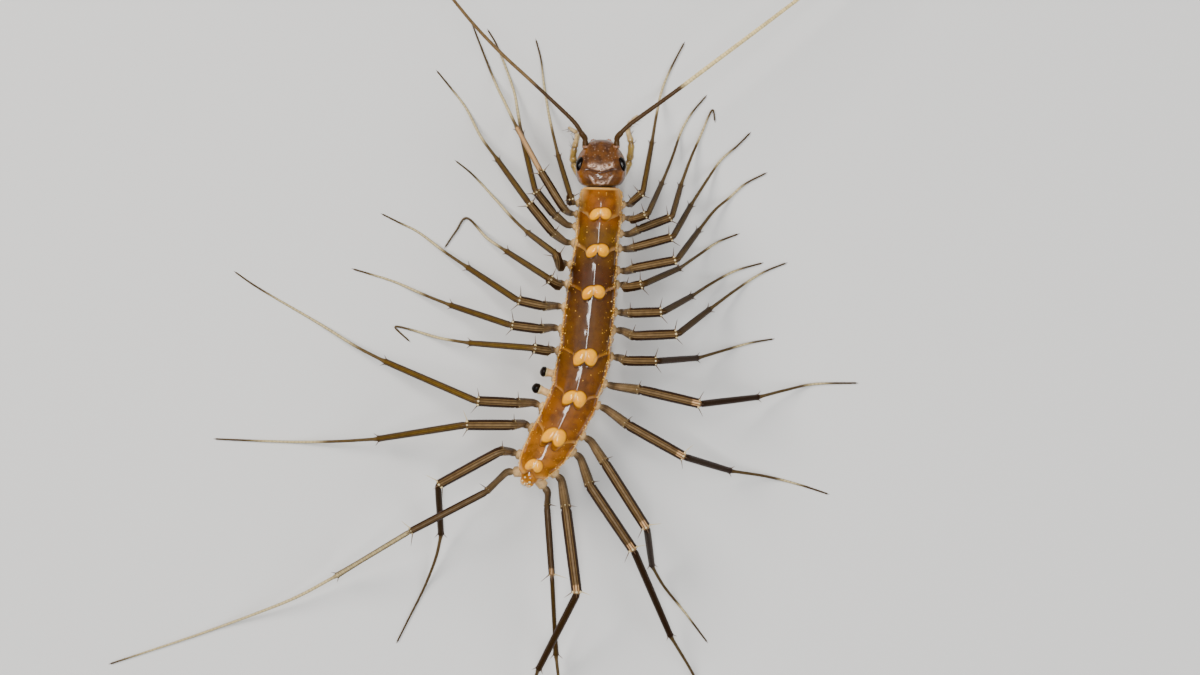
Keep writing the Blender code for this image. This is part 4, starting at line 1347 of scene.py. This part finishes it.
def head_relief(across, row):
    """How far the top of the head stands out here, in millimetres, from its ridges and groove."""
    reach = abs(across)
    groove_row = groove_at(reach)
    inside = 1 - ease(12.5, 16.0, reach)
    relief = -0.085 * hump(row - groove_row, 0.9) * inside
    relief += 0.075 * hump(row - (groove_row - 3.2), 2.4) * inside
    slope = shield_reach(row)
    oblique = hump(reach - slope, 1.0) * ease(173.0, 176.0, row) * (1 - ease(183.5, 185.5, row))
    relief += 0.06 * oblique
    shield = (1 - ease(slope - 1.0, slope + 1.0, reach)) * ease(174.0, 178.0, row)
    relief += 0.035 * shield
    relief += 0.05 * hump(row - 184.6, 1.0) * (1 - ease(15.0, 19.0, reach))
    relief -= 0.05 * hump(row - 186.6, 0.7)
    relief += 0.10 * hump(reach - 20.5, 4.0) * hump(row - 177.0, 6.0)
    relief -= 0.05 * hump(across, 1.1) * ease(141.0, 144.0, row) * (1 - ease(158.0, 163.0, row))
    relief += 0.06 * hump(reach - 7.5, 5.0) * hump(row - 153.0, 6.5)
    relief -= 0.07 * hump(reach - 13.5, 1.4) * hump(row - 156.0, 5.0)
    return relief


def build_head():
    """The head capsule, from its front margin to the rim that covers the neck."""
    first, final = HEAD_RINGS[1].row - 1.4, HEAD_RINGS[-2].row + 1.3

    def spot(u, v):
        row = first + (final - first) * (0.5 - 0.5 * math.cos(math.pi * (0.04 + 0.92 * v)))
        half_width, top, foot = smooth_values(HEAD_RINGS, row)
        close = math.sqrt(max(0.0, 1 - abs(2 * v - 1) ** 14))
        angle = 2 * math.pi * u
        across = half_width * close * math.copysign(abs(math.cos(angle)) ** 0.86, math.cos(angle))
        return row, across, top, foot, angle, close

    def shape(u, v):
        row, across, top, foot, angle, close = spot(u, v)
        middle = 0.42 * top + 0.58 * foot
        lift = math.sin(angle)
        if lift >= 0:
            height = middle + (top - middle) * close * lift ** 0.8
            height += head_relief(across, row) * ease(0.05, 0.5, lift) * close
        else:
            height = middle - (middle - foot) * close * abs(lift) ** 0.7
        point = place(HEAD_MIDDLE + across, row, height)
        eye_reach = min((point - place(*eye)).length for eye in SHOWN_EYES.values())
        rim = 0.05 * hump(eye_reach - 0.86, 0.10) * ease(0.0, 0.2, lift)
        point.z += rim + 0.014 * wave(point, 0.16) + 0.02 * wave(point, 0.45)
        return point

    def amber(u, v):
        row, across, *_, angle, _ = spot(u, v)
        cheek = ease(15.0, 23.0, abs(across)) * ease(168.0, 174.0, row)
        front = hump(abs(across) - 15.0, 3.5) * (1 - ease(150.0, 156.0, row))
        under = ease(0.1, 0.6, -math.sin(angle))
        return min(1.0, 0.85 * cheek + 0.55 * front + 0.6 * under)

    def pale(u, v):
        # The crest band and the band at the rear are painted highlights; the oblique ridges are pale
        # in colour
        row, across, *_, angle, _ = spot(u, v)
        oblique = hump(abs(across) - shield_reach(row), 0.9)
        oblique *= ease(174.0, 177.0, row) * (1 - ease(183.0, 185.0, row))
        ragged = wave(Vector((across, row, 3)), 2.2)
        crest_row = 164.8 + 3.0 * max(0.0, 1 - abs(across) / 14.0) + 0.9 * ragged
        crest = hump(row - crest_row, 2.5) * (1 - ease(11.0, 14.5, abs(across)))
        crest *= ease(-0.35, 0.25, wave(Vector((across, row, 7)), 1.7))
        tail = hump(row - 182.6 + 0.8 * ragged, 1.5) * (1 - ease(4.5, 7.0, abs(across)))
        tail *= ease(-0.3, 0.3, wave(Vector((across, row, 11)), 1.5))
        return max(0.55 * oblique, 0.85 * crest, 0.8 * tail) * (math.sin(angle) > 0)

    def shade(u, v):
        # The groove across the crown is darkened with painted shade; the rims and the front are
        # darkened too
        row, across, *_ = spot(u, v)
        groove = hump(row - groove_at(abs(across)), 1.0) * (1 - ease(13.0, 16.0, abs(across)))
        rim = ease(184.9, 186.3, row)
        half_width = smooth_values(HEAD_RINGS, row)[0]
        side_rim = hump(abs(across) - half_width + 1.1, 1.0) * ease(170.0, 175.0, row)
        front = hump(abs(across) - 6.0, 3.0) * (1 - ease(146.0, 154.0, row))
        return min(1.0, max(0.75 * groove, 0.9 * rim, 0.8 * side_rim, 0.35 * front))

    def grainy(u, v):
        row, *_, angle, _ = spot(u, v)
        return (1 - ease(157.0, 163.0, row)) * (math.sin(angle) > 0)

    values = {"amber": amber, "pale": pale, "shade": shade, "grainy": grainy}
    capsule = bent_grid(*HEAD_GRID, shape, values)
    layers = [(capsule, FINISH["head"])]
    for centre in FEELER_SOCKETS.values():
        layers.append((socket_ring(place(*centre), 0.28, 0.07), FINISH["head"]))
    labrum = ellipsoid(
        place(HEAD_MIDDLE, 144.5, 4.15), (0.72, 0.42, 0.34), Matrix.Identity(3), 4,
        lambda way: 0.05 * wave(way, 0.3) - 0.12 * hump(way.x, 0.12) * (way.y > 0),
    )
    layers.append((labrum, FINISH["head"]))
    for side in (-1, 1):
        mandible = ellipsoid(
            place(HEAD_MIDDLE + side * 9.5, 148, 3.75), (0.46, 0.78, 0.36),
            Matrix.Rotation(side * 0.35, 3, "Z"), 5, mandible_relief,
        )
        layers.append((mandible, FINISH["claw"]))
    collar = ellipsoid(
        place(HEAD_MIDDLE, 188.5, 4.72), (1.12, 0.42, 0.62), Matrix.Identity(3), 4,
        lambda way: 0.03 * wave(way, 0.3),
    )
    layers.append((collar, FINISH["flesh"]))
    stances = []
    for _ in range(HEAD_HAIRS):
        u, v = draw.uniform(0.05, 0.45), draw.uniform(0.03, 0.97)
        root = shape(u, v)
        out = (root - place(HEAD_MIDDLE, 164, 3.6)).normalized()
        way = out + Vector((draw.uniform(-0.4, 0.4), draw.uniform(-0.2, 0.8), 0.1))
        stances.append(stance(root, way, draw.uniform(0.07, 0.16), STOUT_HAIR_RADIUS))
    layers.append((planted(spike(), stances), FINISH["bristle"]))
    shown("head_capsule", layers, ["head"])


def mandible_relief(way):
    """Creases and a blunt toothed edge on a mandible's ball."""
    teeth = 0.10 * abs(math.sin(9 * way.x)) * ease(0.55, 0.9, way.y)
    folds = -0.10 * hump(way.y + 0.15, 0.09) - 0.06 * hump(way.x * 0.8 + way.y - 0.5, 0.07)
    return teeth + folds + 0.05 * wave(way, 0.3)


def socket_ring(middle, reach, thick):
    """The raised ring that an antenna comes out of."""
    facing = Vector((0, 1, 0.12)).normalized()
    turn = facing.to_track_quat("Z", "Y").to_matrix()

    def shape(u, v):
        around, over = 2 * math.pi * u, 2 * math.pi * v
        radius = reach + thick * math.cos(over)
        lift = thick * 1.8 * math.sin(over)
        bend = Vector((math.cos(around) * radius, math.sin(around) * radius, lift))
        return middle + turn @ bend + facing * 0.27

    # The ring's faint pale is a painted highlight
    values = {"amber": lambda u, v: 0.5, "pale": lambda u, v: 0.12, "shade": lambda u, v: 0.15}
    return bent_grid(*SOCKET_GRID, shape, values)


def build_eyes():
    """Compound eyes of small domes packed on a kidney shape."""
    golden = math.pi * (3 - math.sqrt(5))
    lattice = []
    for i in range(EYE_FACETS):
        height = 1 - 2 * (i + 0.5) / EYE_FACETS
        ring = math.sqrt(1 - height * height)
        lattice.append((ring * math.cos(golden * i), ring * math.sin(golden * i), height))
    lattice = np.array(lattice)
    facet_reach = math.sqrt(4 / EYE_FACETS) * 0.95
    for name, side in SIDES.items():
        turn = Matrix.Rotation(side * EYE_TILT, 3, "Y") @ Matrix.Rotation(side * EYE_YAW, 3, "Z")
        work = bmesh.new()
        layer = work.verts.layers.float.new("facet")
        bmesh.ops.create_icosphere(work, subdivisions=EYE_DETAIL, radius=1.0)
        ways = np.array([vert.co for vert in work.verts])
        gaps = np.sqrt(np.maximum(0.0, 2 - 2 * (ways @ lattice.T).max(axis=1)))
        centre = place(*SHOWN_EYES[name])
        for vert, gap in zip(work.verts, gaps):
            dome = max(0.0, 1 - (gap / facet_reach) ** 2)
            vert[layer] = ease(0.0, 0.45, dome)
            way = vert.co.copy()
            stretch = Vector((way.x * EYE_AXES[0], way.y * EYE_AXES[1], way.z * EYE_AXES[2]))
            stretch.x *= 1 + 0.16 * way.y
            stretch.x += side * 0.06 * (1 - way.y * way.y)
            vert.co = centre + turn @ (stretch * (1 + 0.014 * dome))
        shown(f"faceted_eye_{name}", [(to_mesh(work), FINISH["eye"])], [f"eye_{name}"])


# Feelers and mouthparts

def build_feeler(name):
    """An antenna of many short rings, each with a whorl of fine hairs."""
    path = smooth_path([place(*spot) for spot in FEELERS[name]], FEELER_RING_SPACING)
    frames = frames_along(path)
    last = len(path) - 1
    root_radius, mid_radius, tip_radius = FEELER_RADII[name]
    walked = 0.0
    radii, pales, seams = [], [], []
    stances = []
    next_whorl = FEELER_SCAPE
    for i, frame in enumerate(frames):
        if i:
            walked += (frame.point - frames[i - 1].point).length
        part = i / last
        radius = root_radius + (mid_radius - root_radius) * ease(0.0, 0.25, part)
        radius += (tip_radius - mid_radius) * ease(0.3, 1.0, part)
        ring = FEELER_RING * (1.5 - 0.6 * part)
        seam = (1 - abs(math.sin(math.pi * walked / ring))) ** 3
        if walked < FEELER_SCAPE:
            seam = hump(walked - 0.45 * FEELER_SCAPE, 0.06)
            radius *= 1.22
        radii.append(radius * (1 - 0.16 * seam) * (1 - ease(0.992, 1.0, part)))
        row = PICTURE_SIZE[1] / 2 - (frame.point.y + ORIGIN[1]) / MM_PER_PIXEL
        pales.append(1 - ease(FEELER_PALE_ROW[name] - 3, FEELER_PALE_ROW[name] + 3, row))
        seams.append(0.55 * seam)
        if walked > next_whorl and i < last - 2:
            next_whorl = walked + ring
            for k in range(WHORL_HAIRS):
                angle = 2 * math.pi * (k + draw.random()) / WHORL_HAIRS
                out = out_from(frame, angle)
                way = out + frame.axis * draw.uniform(0.5, 1.1)
                root = frame.point + out * radius * 0.9
                stances.append(stance(root, way, draw.uniform(0.09, 0.17), HAIR_RADIUS))
    radii[0] = radii[-1] = 0.0
    # The right feeler's outer part is painted cream for the light it catches
    values = {"pale": pales, "seam": seams, "cream": [float(name == "right")] * len(frames)}
    layers = [
        (limb(frames, radii, FEELER_SIDES, 0.0, values), FINISH["feeler"]),
        (planted(spike(), stances), FINISH["bristle"]),
    ]
    nodes = [f"antenna_{name}_inner", f"antenna_{name}_outer"]
    shown(f"feeler_{name}", layers, nodes)


def jointed_radii(frames, root_radius, tip_radius, joints):
    """Radii of a limb that narrows to its tip and is waisted and ringed at its joints."""
    last = len(frames) - 1
    radii, shades = [], []
    for i in range(last + 1):
        part = i / last
        nearest = min(abs(part - joint) for joint in joints)
        radius = root_radius + (tip_radius - root_radius) * part
        radius *= 1 + 0.14 * hump(nearest - 0.05, 0.03) - 0.22 * hump(nearest, 0.018)
        radii.append(radius * math.sqrt(max(0.0, 1 - part ** 30)))
        shades.append(hump(nearest, 0.02))
    radii[0] = radii[-1] = 0.0
    return radii, shades


def build_palp(name, side):
    """A jointed palp with its spurs and hairs."""
    frames = frames_along(smooth_path([place(*spot) for spot in PALPS[name]], MOUTH_STEP))
    radii, shades = jointed_radii(frames, *PALP_RADII, PALP_JOINTS)
    last = len(frames) - 1
    values = {
        "shade": [0.7 * shade for shade in shades],
        "pale": [ease(0.45, 0.7, i / last) for i in range(last + 1)],
    }
    spurs, hairs = [], []
    for joint in PALP_SPURS:
        frame = frames[round(joint * last)]
        for turn in (-0.5, 0.4):
            out = frame.across * side * math.cos(turn) + frame.up * math.sin(turn)
            way = out + frame.axis * 0.8
            root = frame.point + out * 0.12
            spurs.append(stance(root, way, draw.uniform(0.5, 0.85), PALP_SPUR_RADIUS))
    for _ in range(PALP_HAIRS):
        i = round(draw.uniform(0.08, 0.98) * last)
        out = out_from(frames[i], draw.uniform(0, 2 * math.pi))
        way = out + frames[i].axis * draw.uniform(0.4, 1.2)
        root = frames[i].point + out * radii[i] * 0.9
        hairs.append(stance(root, way, draw.uniform(0.12, 0.28), PALP_HAIR_RADIUS))
    layers = [
        (limb(frames, radii, MOUTH_SIDES, 0.02, values), FINISH["mouth"]),
        (planted(thorn(), spurs), FINISH["spur"]),
        (planted(spike(), hairs), FINISH["bristle"]),
    ]
    shown(f"jointed_palp_{name}", layers, [f"palp_{name}"])


def build_poison_claw(name, side):
    """A claw that bends under the head and narrows to a dark point."""
    bend = [place(HEAD_MIDDLE + side * across, row, height) for across, row, height in FORCIPULE]
    frames = frames_along(smooth_path(bend, MOUTH_STEP))
    radii, shades = jointed_radii(frames, *CLAW_RADII, CLAW_JOINTS)
    last = len(frames) - 1
    radii = [r * (1 - 0.96 * ease(0.66, 1.0, i / last) ** 0.8) for i, r in enumerate(radii)]
    values = {"shade": [max(s, ease(0.7, 0.95, i / last)) for i, s in enumerate(shades)]}
    claw = limb(frames, radii, MOUTH_SIDES, 0.0, values)
    shown(f"poison_claw_{name}", [(claw, FINISH["claw"])], [f"forcipule_{name}"])


# Legs

def mount_points(station, side):
    """Where a leg's hip leaves the side skin, and the way that it points."""
    at, to_tail, to_right, half_width, narrowing = spine_at(station)
    outward = (to_right * side + to_tail * narrowing * WALL_SHARE).normalized()
    start = at + to_right * side * half_width * WALL_SHARE + outward * MOUNT_GAP
    start.z = COXA_HEIGHT
    return start, outward


def kept_off(point, station, side, radius):
    """The point moved out from the plate's margin as far as the solid leg was."""
    at, _, to_right, half_width, _ = spine_at(station)
    beyond = (point - at).dot(to_right * side) - half_width
    short = radius + FREE_OF_MARGIN - beyond
    return point + to_right * side * short if short > 0 else point


def straight_run(start, end, stage, end_stage):
    """Points along a straight stretch of a leg, each with its stage."""
    count = max(3, round((end - start).length / RING_SPACING))
    rise = end_stage - stage
    return [(start.lerp(end, i / count), stage + rise * i / count) for i in range(count)]


def tarsus_run(ankle, places):
    """The tarsus comes down from the ankle to the floor and runs along it."""
    level = [Vector((ankle.x, ankle.y, 0.0))]
    for column, row in places:
        spot = place(column, row, 0.2)
        level.append(Vector((spot.x, spot.y, 0.0)))
    path = smooth_path(level, TARSUS_SPACING)
    lengths = [0.0]
    for before, after in zip(path, path[1:]):
        lengths.append(lengths[-1] + (after - before).length)
    run = []
    for point, walked in zip(path, lengths):
        part = walked / lengths[-1]
        resting = TARSUS_RADIUS + (TIP_RADIUS - TARSUS_RADIUS) * part
        lift = max(0.0, 1 - part / TOUCH_DOWN) ** 1.4
        run.append((Vector((point.x, point.y, resting + (ankle.z - resting) * lift)), 4 + part))
    return run


def softened(points, passes=4):
    """The path with its corners slightly rounded."""
    for _ in range(passes):
        points = [points[0]] + [
            (before + 2 * point + after) / 4
            for before, point, after in zip(points, points[1:], points[2:])
        ] + [points[-1]]
    return points


def leg_radius(stage, to_start, to_end, walked, size):
    """A leg's radius here, from how far its joint has come and its ends' distances."""
    index = min(4, int(stage))
    root_radius, end_radius = JOINT_RADII[index]
    part = stage - index
    radius = root_radius + (end_radius - root_radius) * part
    if index == 4:
        ring = ANNULUS * (1.25 - 0.5 * part)
        seam = (1 - abs(math.sin(math.pi * walked / ring))) ** 2
        radius *= 1 - 0.16 * seam * ease(0.02, 0.1, part)
        radius *= 1 + 0.35 * hump(to_start, 0.25)
        return radius * (0.85 + 0.15 * size)
    radius *= 1 + 0.05 * math.sin(math.pi * part)
    radius *= 1 + FLARES[index] * hump(to_end - 0.10, 0.16) - 0.26 * hump(to_start, 0.09)
    return radius * size


def leg_path(leg, side):
    """A leg's frames from inside the trunk to its tip, their stages, and its joints' points.

    A stage counts the joints passed, so the hip is 0 to 1 and the tarsus 4 to 5.
    """
    start, outward = mount_points(leg.station, side)
    mount = start + outward * MOUNT_LENGTH * min(1.0, leg.size)
    mount, knee, spur = [
        kept_off(point, leg.station, side, SOLID_COXA_RADIUS * leg.size)
        for point in (mount, place(*leg.knee), place(*leg.spur))
    ]
    ankle = place(*leg.ankle)
    root = start - outward * HIP_SINK
    hip_end = start.lerp(mount, HIP_SHARE)
    turn_share = (mount - hip_end).length / ((mount - hip_end).length + (knee - mount).length)
    run = straight_run(root, hip_end, 0, 1) + straight_run(hip_end, mount, 1, 1 + turn_share)
    run += straight_run(mount, knee, 1 + turn_share, 2)
    run += straight_run(knee, spur, 2, 3) + straight_run(spur, ankle, 3, 4)
    run += tarsus_run(ankle, leg.tarsus)
    frames = frames_along(softened([point for point, _ in run]))
    joints = [root, hip_end, knee, spur, ankle, frames[-1].point]
    return frames, [stage for _, stage in run], joints


def leg_looks(name, leg, frames, stages, joints):
    """A leg's radius at each frame, and by name what its finish reads there."""
    girth = GIRTHS.get(name, 1.0)
    warmth = WARM_SHINS.get(name, 0.0)
    low, high = leg.pale
    walked = 0.0
    radii = []
    looks = {"dark": [], "pale": [], "lined": [], "joint": []}
    for i, (frame, stage) in enumerate(zip(frames, stages)):
        if i:
            walked += (frame.point - frames[i - 1].point).length
        index = min(4, int(stage))
        part = stage - index
        to_start = (frame.point - joints[index]).length
        to_end = (frame.point - joints[index + 1]).length
        slimmer = 1 + (girth - 1) * ease(0.9, 1.6, stage) * (1 - ease(3.6, 4.2, stage))
        radii.append(leg_radius(stage, to_start, to_end, walked, leg.size) * slimmer)
        thigh = DARK_THIGHS.get(name, 0.0) * ease(0.9, 1.6, stage) * (index < 3)
        looks["dark"].append(max(thigh, leg.shade * SHADE_SHARES[index]))
        band = ease(low - 0.06, low + 0.06, part) * (1 - ease(high - 0.08, high + 0.08, part))
        pale = band * 0.85 if index == 4 and high > 0 else 0.0
        if index == 3:
            pale = PALE_SHINS.get(name, 0.0)
        flecked = 0.62 + 0.38 * ease(-0.75, -0.2, math.sin(2 * math.pi * walked / ANNULUS))
        looks["pale"].append(pale * flecked)
        looks["lined"].append(LINE_SHARES[index] * (0.5 if index == 3 and warmth else 1.0))
        # Pale rings at the ends of the joints are painted glints; the patch is the cream end of the
        # thigh
        ring = 0.75 * hump(to_end, 0.07) if index in (1, 2, 3) else hump(to_end, 0.15) * (index == 0)
        patch = PATCHES.get(name, 0.0) * (1 - ease(0.8, 1.0, to_end / PATCH_LENGTH)) * (index == 2)
        looks["joint"].append(max(ring, patch, warmth * (index == 3)))
    radii[0] = radii[-1] = 0.0
    return radii, looks


def leg_spurs(name, leg, side, frames, radii, stages):
    """Where a leg's horn brown spurs, its pale spurs and the beads at their roots sit; the pale spurs
    and beads are painted highlights.
    """
    spurs, glint_white_spurs, glint_beads = [], [], []
    for stage_end, lengths in SPURS.items():
        index = max(i for i, stage in enumerate(stages) if stage < stage_end)
        frame, reach = frames[index], radii[index - 2]
        to_head = frame.across * -side
        outward_ways = {
            "head": to_head * 0.94 + frame.up * 0.34,
            "tail": to_head * -0.94 + frame.up * 0.34,
            "up": frame.up,
        }
        for where, length, lean in lengths:
            out = outward_ways[where].normalized()
            way = frame.axis * math.cos(lean) + out * math.sin(lean)
            root = frame.point - frame.axis * 0.14 + out * reach * 0.6
            length *= leg.size * draw.uniform(0.88, 1.12)
            # Spurs in this list are painted white for the glare on them, a painted highlight
            pale = stage_end == 3 and where == "head" and name in GLINT_WHITE_SPURS
            lot = glint_white_spurs if pale else spurs
            lot.append(stance(root, way, length, LEG_SPUR_RADIUS))
        if stage_end not in GLINT_BEAD_SIZES:
            continue
        # Pale beads on the joints stand in for glints, a painted highlight
        for angle in GLINT_BEAD_ANGLES:
            out = out_from(frame, angle)
            root = frame.point + out * radii[index - 1] * 0.93 - frame.axis * 0.05
            glint_bead = leg.size * GIRTHS.get(name, 1.0) * draw.uniform(*GLINT_BEAD_SIZES[stage_end])
            glint_beads.append(stance(root, out, glint_bead, glint_bead))
    return spurs, glint_white_spurs, glint_beads


def build_leg(name, leg, side):
    """One leg of hip, two thigh joints, shin and ringed tarsus, with its spurs and bristles."""
    frames, stages, joints = leg_path(leg, side)
    radii, looks = leg_looks(name, leg, frames, stages, joints)
    spurs, glint_white_spurs, glint_beads = leg_spurs(name, leg, side, frames, radii, stages)
    bristles = leg_bristles(frames, radii, stages)
    tip = frames[-2]
    spurs.append(stance(tip.point, tip.axis - UP * 0.12, 0.28, TIP_RADIUS * 0.55))
    layers = [
        (limb(frames, radii, LEG_SIDES, KEEL_HEIGHT, looks, stages), FINISH["leg"]),
        (planted(thorn(), spurs), FINISH["spur"]),
        (planted(spike(), bristles), FINISH["bristle"]),
        (planted(bead(), glint_beads), FINISH["painted_glint_white"]),
    ]
    if glint_white_spurs:
        layers.append((planted(thorn(), glint_white_spurs), FINISH["painted_glint_white"]))
    shown(f"jointed_{name}", layers, [name])


def leg_bristles(frames, radii, stages):
    """Rows of short spines along the keels, and fine hairs round the tarsus."""
    stances = []
    count = len(frames)
    walked = 0.0
    next_row = 0.0
    for i in range(3, count - 3):
        walked += (frames[i].point - frames[i - 1].point).length
        if walked < next_row or stages[i] < 1.05:
            continue
        frame, radius = frames[i], radii[i]
        if stages[i] < 4:
            next_row = walked + BRISTLE_SPACING
            for keel in range(KEELS):
                angle = 2 * math.pi * keel / KEELS + draw.uniform(-0.1, 0.1)
                out = out_from(frame, angle)
                way = out + frame.axis * draw.uniform(1.0, 1.8)
                root = frame.point + out * radius
                stances.append(stance(root, way, draw.uniform(0.10, 0.17), LEG_BRISTLE_RADIUS))
        else:
            next_row = walked + HAIR_SPACING
            for k in range(TARSUS_HAIRS):
                angle = 2 * math.pi * (k + draw.random()) / TARSUS_HAIRS
                out = out_from(frame, angle)
                root = frame.point + out * radius * 0.9
                if root.z < 0.03:
                    continue
                way = out + frame.axis * draw.uniform(0.7, 1.4)
                way.z = max(way.z, -0.1)
                stances.append(stance(root, way, draw.uniform(0.08, 0.15), HAIR_RADIUS))
    return stances


def build_shed_leg(number, leg):
    """The pale hip that is left where a leg was shed, closed with a dark round scar."""
    start, outward = mount_points(leg.station, -1)
    root = start - outward * HIP_SINK
    length = HIP_SINK + leg.length
    parts = [i / SHED_STEPS for i in range(SHED_STEPS + 1)]
    frames = frames_along([root + outward * length * part for part in parts])
    radii = [
        COXA_RADIUS * (0.8 + 0.28 * ease(0.72, 0.9, part)) * math.sqrt(max(0.0, 1 - part ** 20))
        for part in parts
    ]
    radii[0] = 0.0
    looks = dict.fromkeys(("dark", "lined", "joint"), [0.0] * len(parts))
    # The pale band next to the scar is a painted highlight
    looks["pale"] = [ease(0.80, 0.86, part) for part in parts]
    hip = limb(frames, radii, SHED_SIDES, 0.0, looks, [0.9 * part for part in parts])
    scar = ellipsoid(
        start + outward * (leg.length + 0.02) + UP * 0.12, (leg.scar, 0.47, 0.42),
        outward.to_track_quat("X", "Z").to_matrix(), 4, lambda way: 0.05 * wave(way, 0.5),
    )
    layers = [(hip, FINISH["leg"]), (scar, FINISH["scar"])]
    shown(f"shed_hip_{number}_left", layers, [f"mount_{number}_left"])


# Floor, lights and camera

def new_light(name, size, power, spot, shade=(1, 1, 1)):
    """An area light of this width and length, aimed at the model."""
    light = bpy.data.lights.new(name, "AREA")
    light.shape = "RECTANGLE"
    light.size, light.size_y = size
    light.energy = power
    light.color = shade
    obj = bpy.data.objects.new(name, light)
    bpy.context.scene.collection.objects.link(obj)
    obj.location = spot
    obj.rotation_euler = (Vector(LIGHTS_AIM) - Vector(spot)).to_track_quat("-Z", "Y").to_euler()
    return obj


def build_stage():
    """A plain pale floor under soft studio light."""
    work = bmesh.new()
    bmesh.ops.create_grid(work, x_segments=2, y_segments=2, size=FLOOR_HALF)
    mesh = to_mesh(work)
    floor = bpy.data.objects.new("pale_floor", mesh)
    bpy.context.scene.collection.objects.link(floor)
    material, tree, shader = new_finish("pale_floor_paint", 0.7)
    feed(tree, shader.inputs["Base Color"], FLOOR_PALE)
    mesh.materials.append(material)

    world = bpy.data.worlds.new("soft_room")
    world.use_nodes = True
    backdrop = world.node_tree.nodes["Background"]
    backdrop.inputs["Color"].default_value = ROOM_LIGHT
    backdrop.inputs["Strength"].default_value = ROOM_STRENGTH
    bpy.context.scene.world = world
    for light in SOFT_LIGHTS:
        new_light(*light).visible_glossy = False
    new_light(*STRIP_LIGHT)


def build_camera():
    """Straight down from above the middle of the picture, as the picture was taken."""
    data = bpy.data.cameras.new("camera")
    data.sensor_width = SENSOR_WIDTH
    data.lens = SENSOR_WIDTH * VIEW_HEIGHT / (PICTURE_SIZE[0] * MM_PER_PIXEL)
    data.clip_start = 0.01
    data.clip_end = 10.0
    camera = bpy.data.objects.new("camera", data)
    bpy.context.scene.collection.objects.link(camera)
    camera.location = place(PICTURE_SIZE[0] / 2, PICTURE_SIZE[1] / 2, 0.0) * METRES
    camera.location.z = VIEW_HEIGHT * METRES
    bpy.context.scene.camera = camera


# Beads are as clear as drops of resin, and the spurs of the hind legs glassy and painted nearly white
# for glare, like the pale beads that stand in for glints.
FINISH = {
    "plate": shell_finish(),
    "bead": finish("golden_bead", (0.15, 1.0, 0.05), (BEAD_GOLD, GRAIN_CREAM, 0.6, 0.8)),
    "flesh": finish("pale_side_skin", (0.45, 0.3, 0.2, 0.2), skin_paint, (0.07, 0.22, 0.7), 0.05),
    "head": finish("head_red_brown", (0.4, 1.0, 0.08, 0.1), head_paint, (0.10, 0.3, 0.35), 0.05),
    "eye": finish("black_faceted_eye", (0.22, 0.35, 0.05, 0.0, 0.2), eye_paint),
    "leg": finish("leg_cuticle", (0.5, 0.08, 0.2, 0.05, 0.13), leg_paint, (0.06, 0.2, 0.5), 0.025),
    "spur": finish("spur_horn", (0.3, 0.4, 0.1), (SPUR_HORN, SPUR_DARK, 0.5, 0.7)),
    "painted_glint_white": finish("painted_glint_white", (0.25, 0.8, 0.08), (TARSUS_CREAM, SKIN_TAN, 0.4, 0.4)),
    "bristle": finish("dark_bristle", (0.4,), (BRISTLE_BROWN, SPUR_HORN, 1.2, 0.5)),
    "feeler": finish(
        "ringed_feeler", (0.45, 0.2, 0.2, 0.0, 0.25), feeler_paint, (0.05, 0.2, 0.4), 0.02,
    ),
    "mouth": finish("palp_amber", (0.35, 0.7, 0.1, 0.15), palp_paint, (0.06, 0.2, 0.5), 0.03),
    "claw": finish("claw_brown", (0.25, 0.8, 0.08), claw_paint),
    "scar": finish("shed_leg_scar", (0.3, 0.4, 0.1, 0.0, 0.2), (SCAR_BLACK, SPUR_DARK, 0.3, 0.5)),
}

draw = random.Random(SEED)

build_camera()
build_stage()
build_side_skin()
for number in range(1, len(TERGITE_ENDS)):
    build_plate(number)
build_telson()
build_head()
build_eyes()
for name, side in SIDES.items():
    build_palp(name, side)
    build_poison_claw(name, side)
for name in FEELERS:
    build_feeler(name)
for name, legs in (("left", LEFT_LEGS), ("right", RIGHT_LEGS)):
    for number, leg in legs.items():
        build_leg(f"leg_{number:02d}_{name}", leg, SIDES[name])
for number, leg in SHED_LEGS.items():
    build_shed_leg(number, leg)
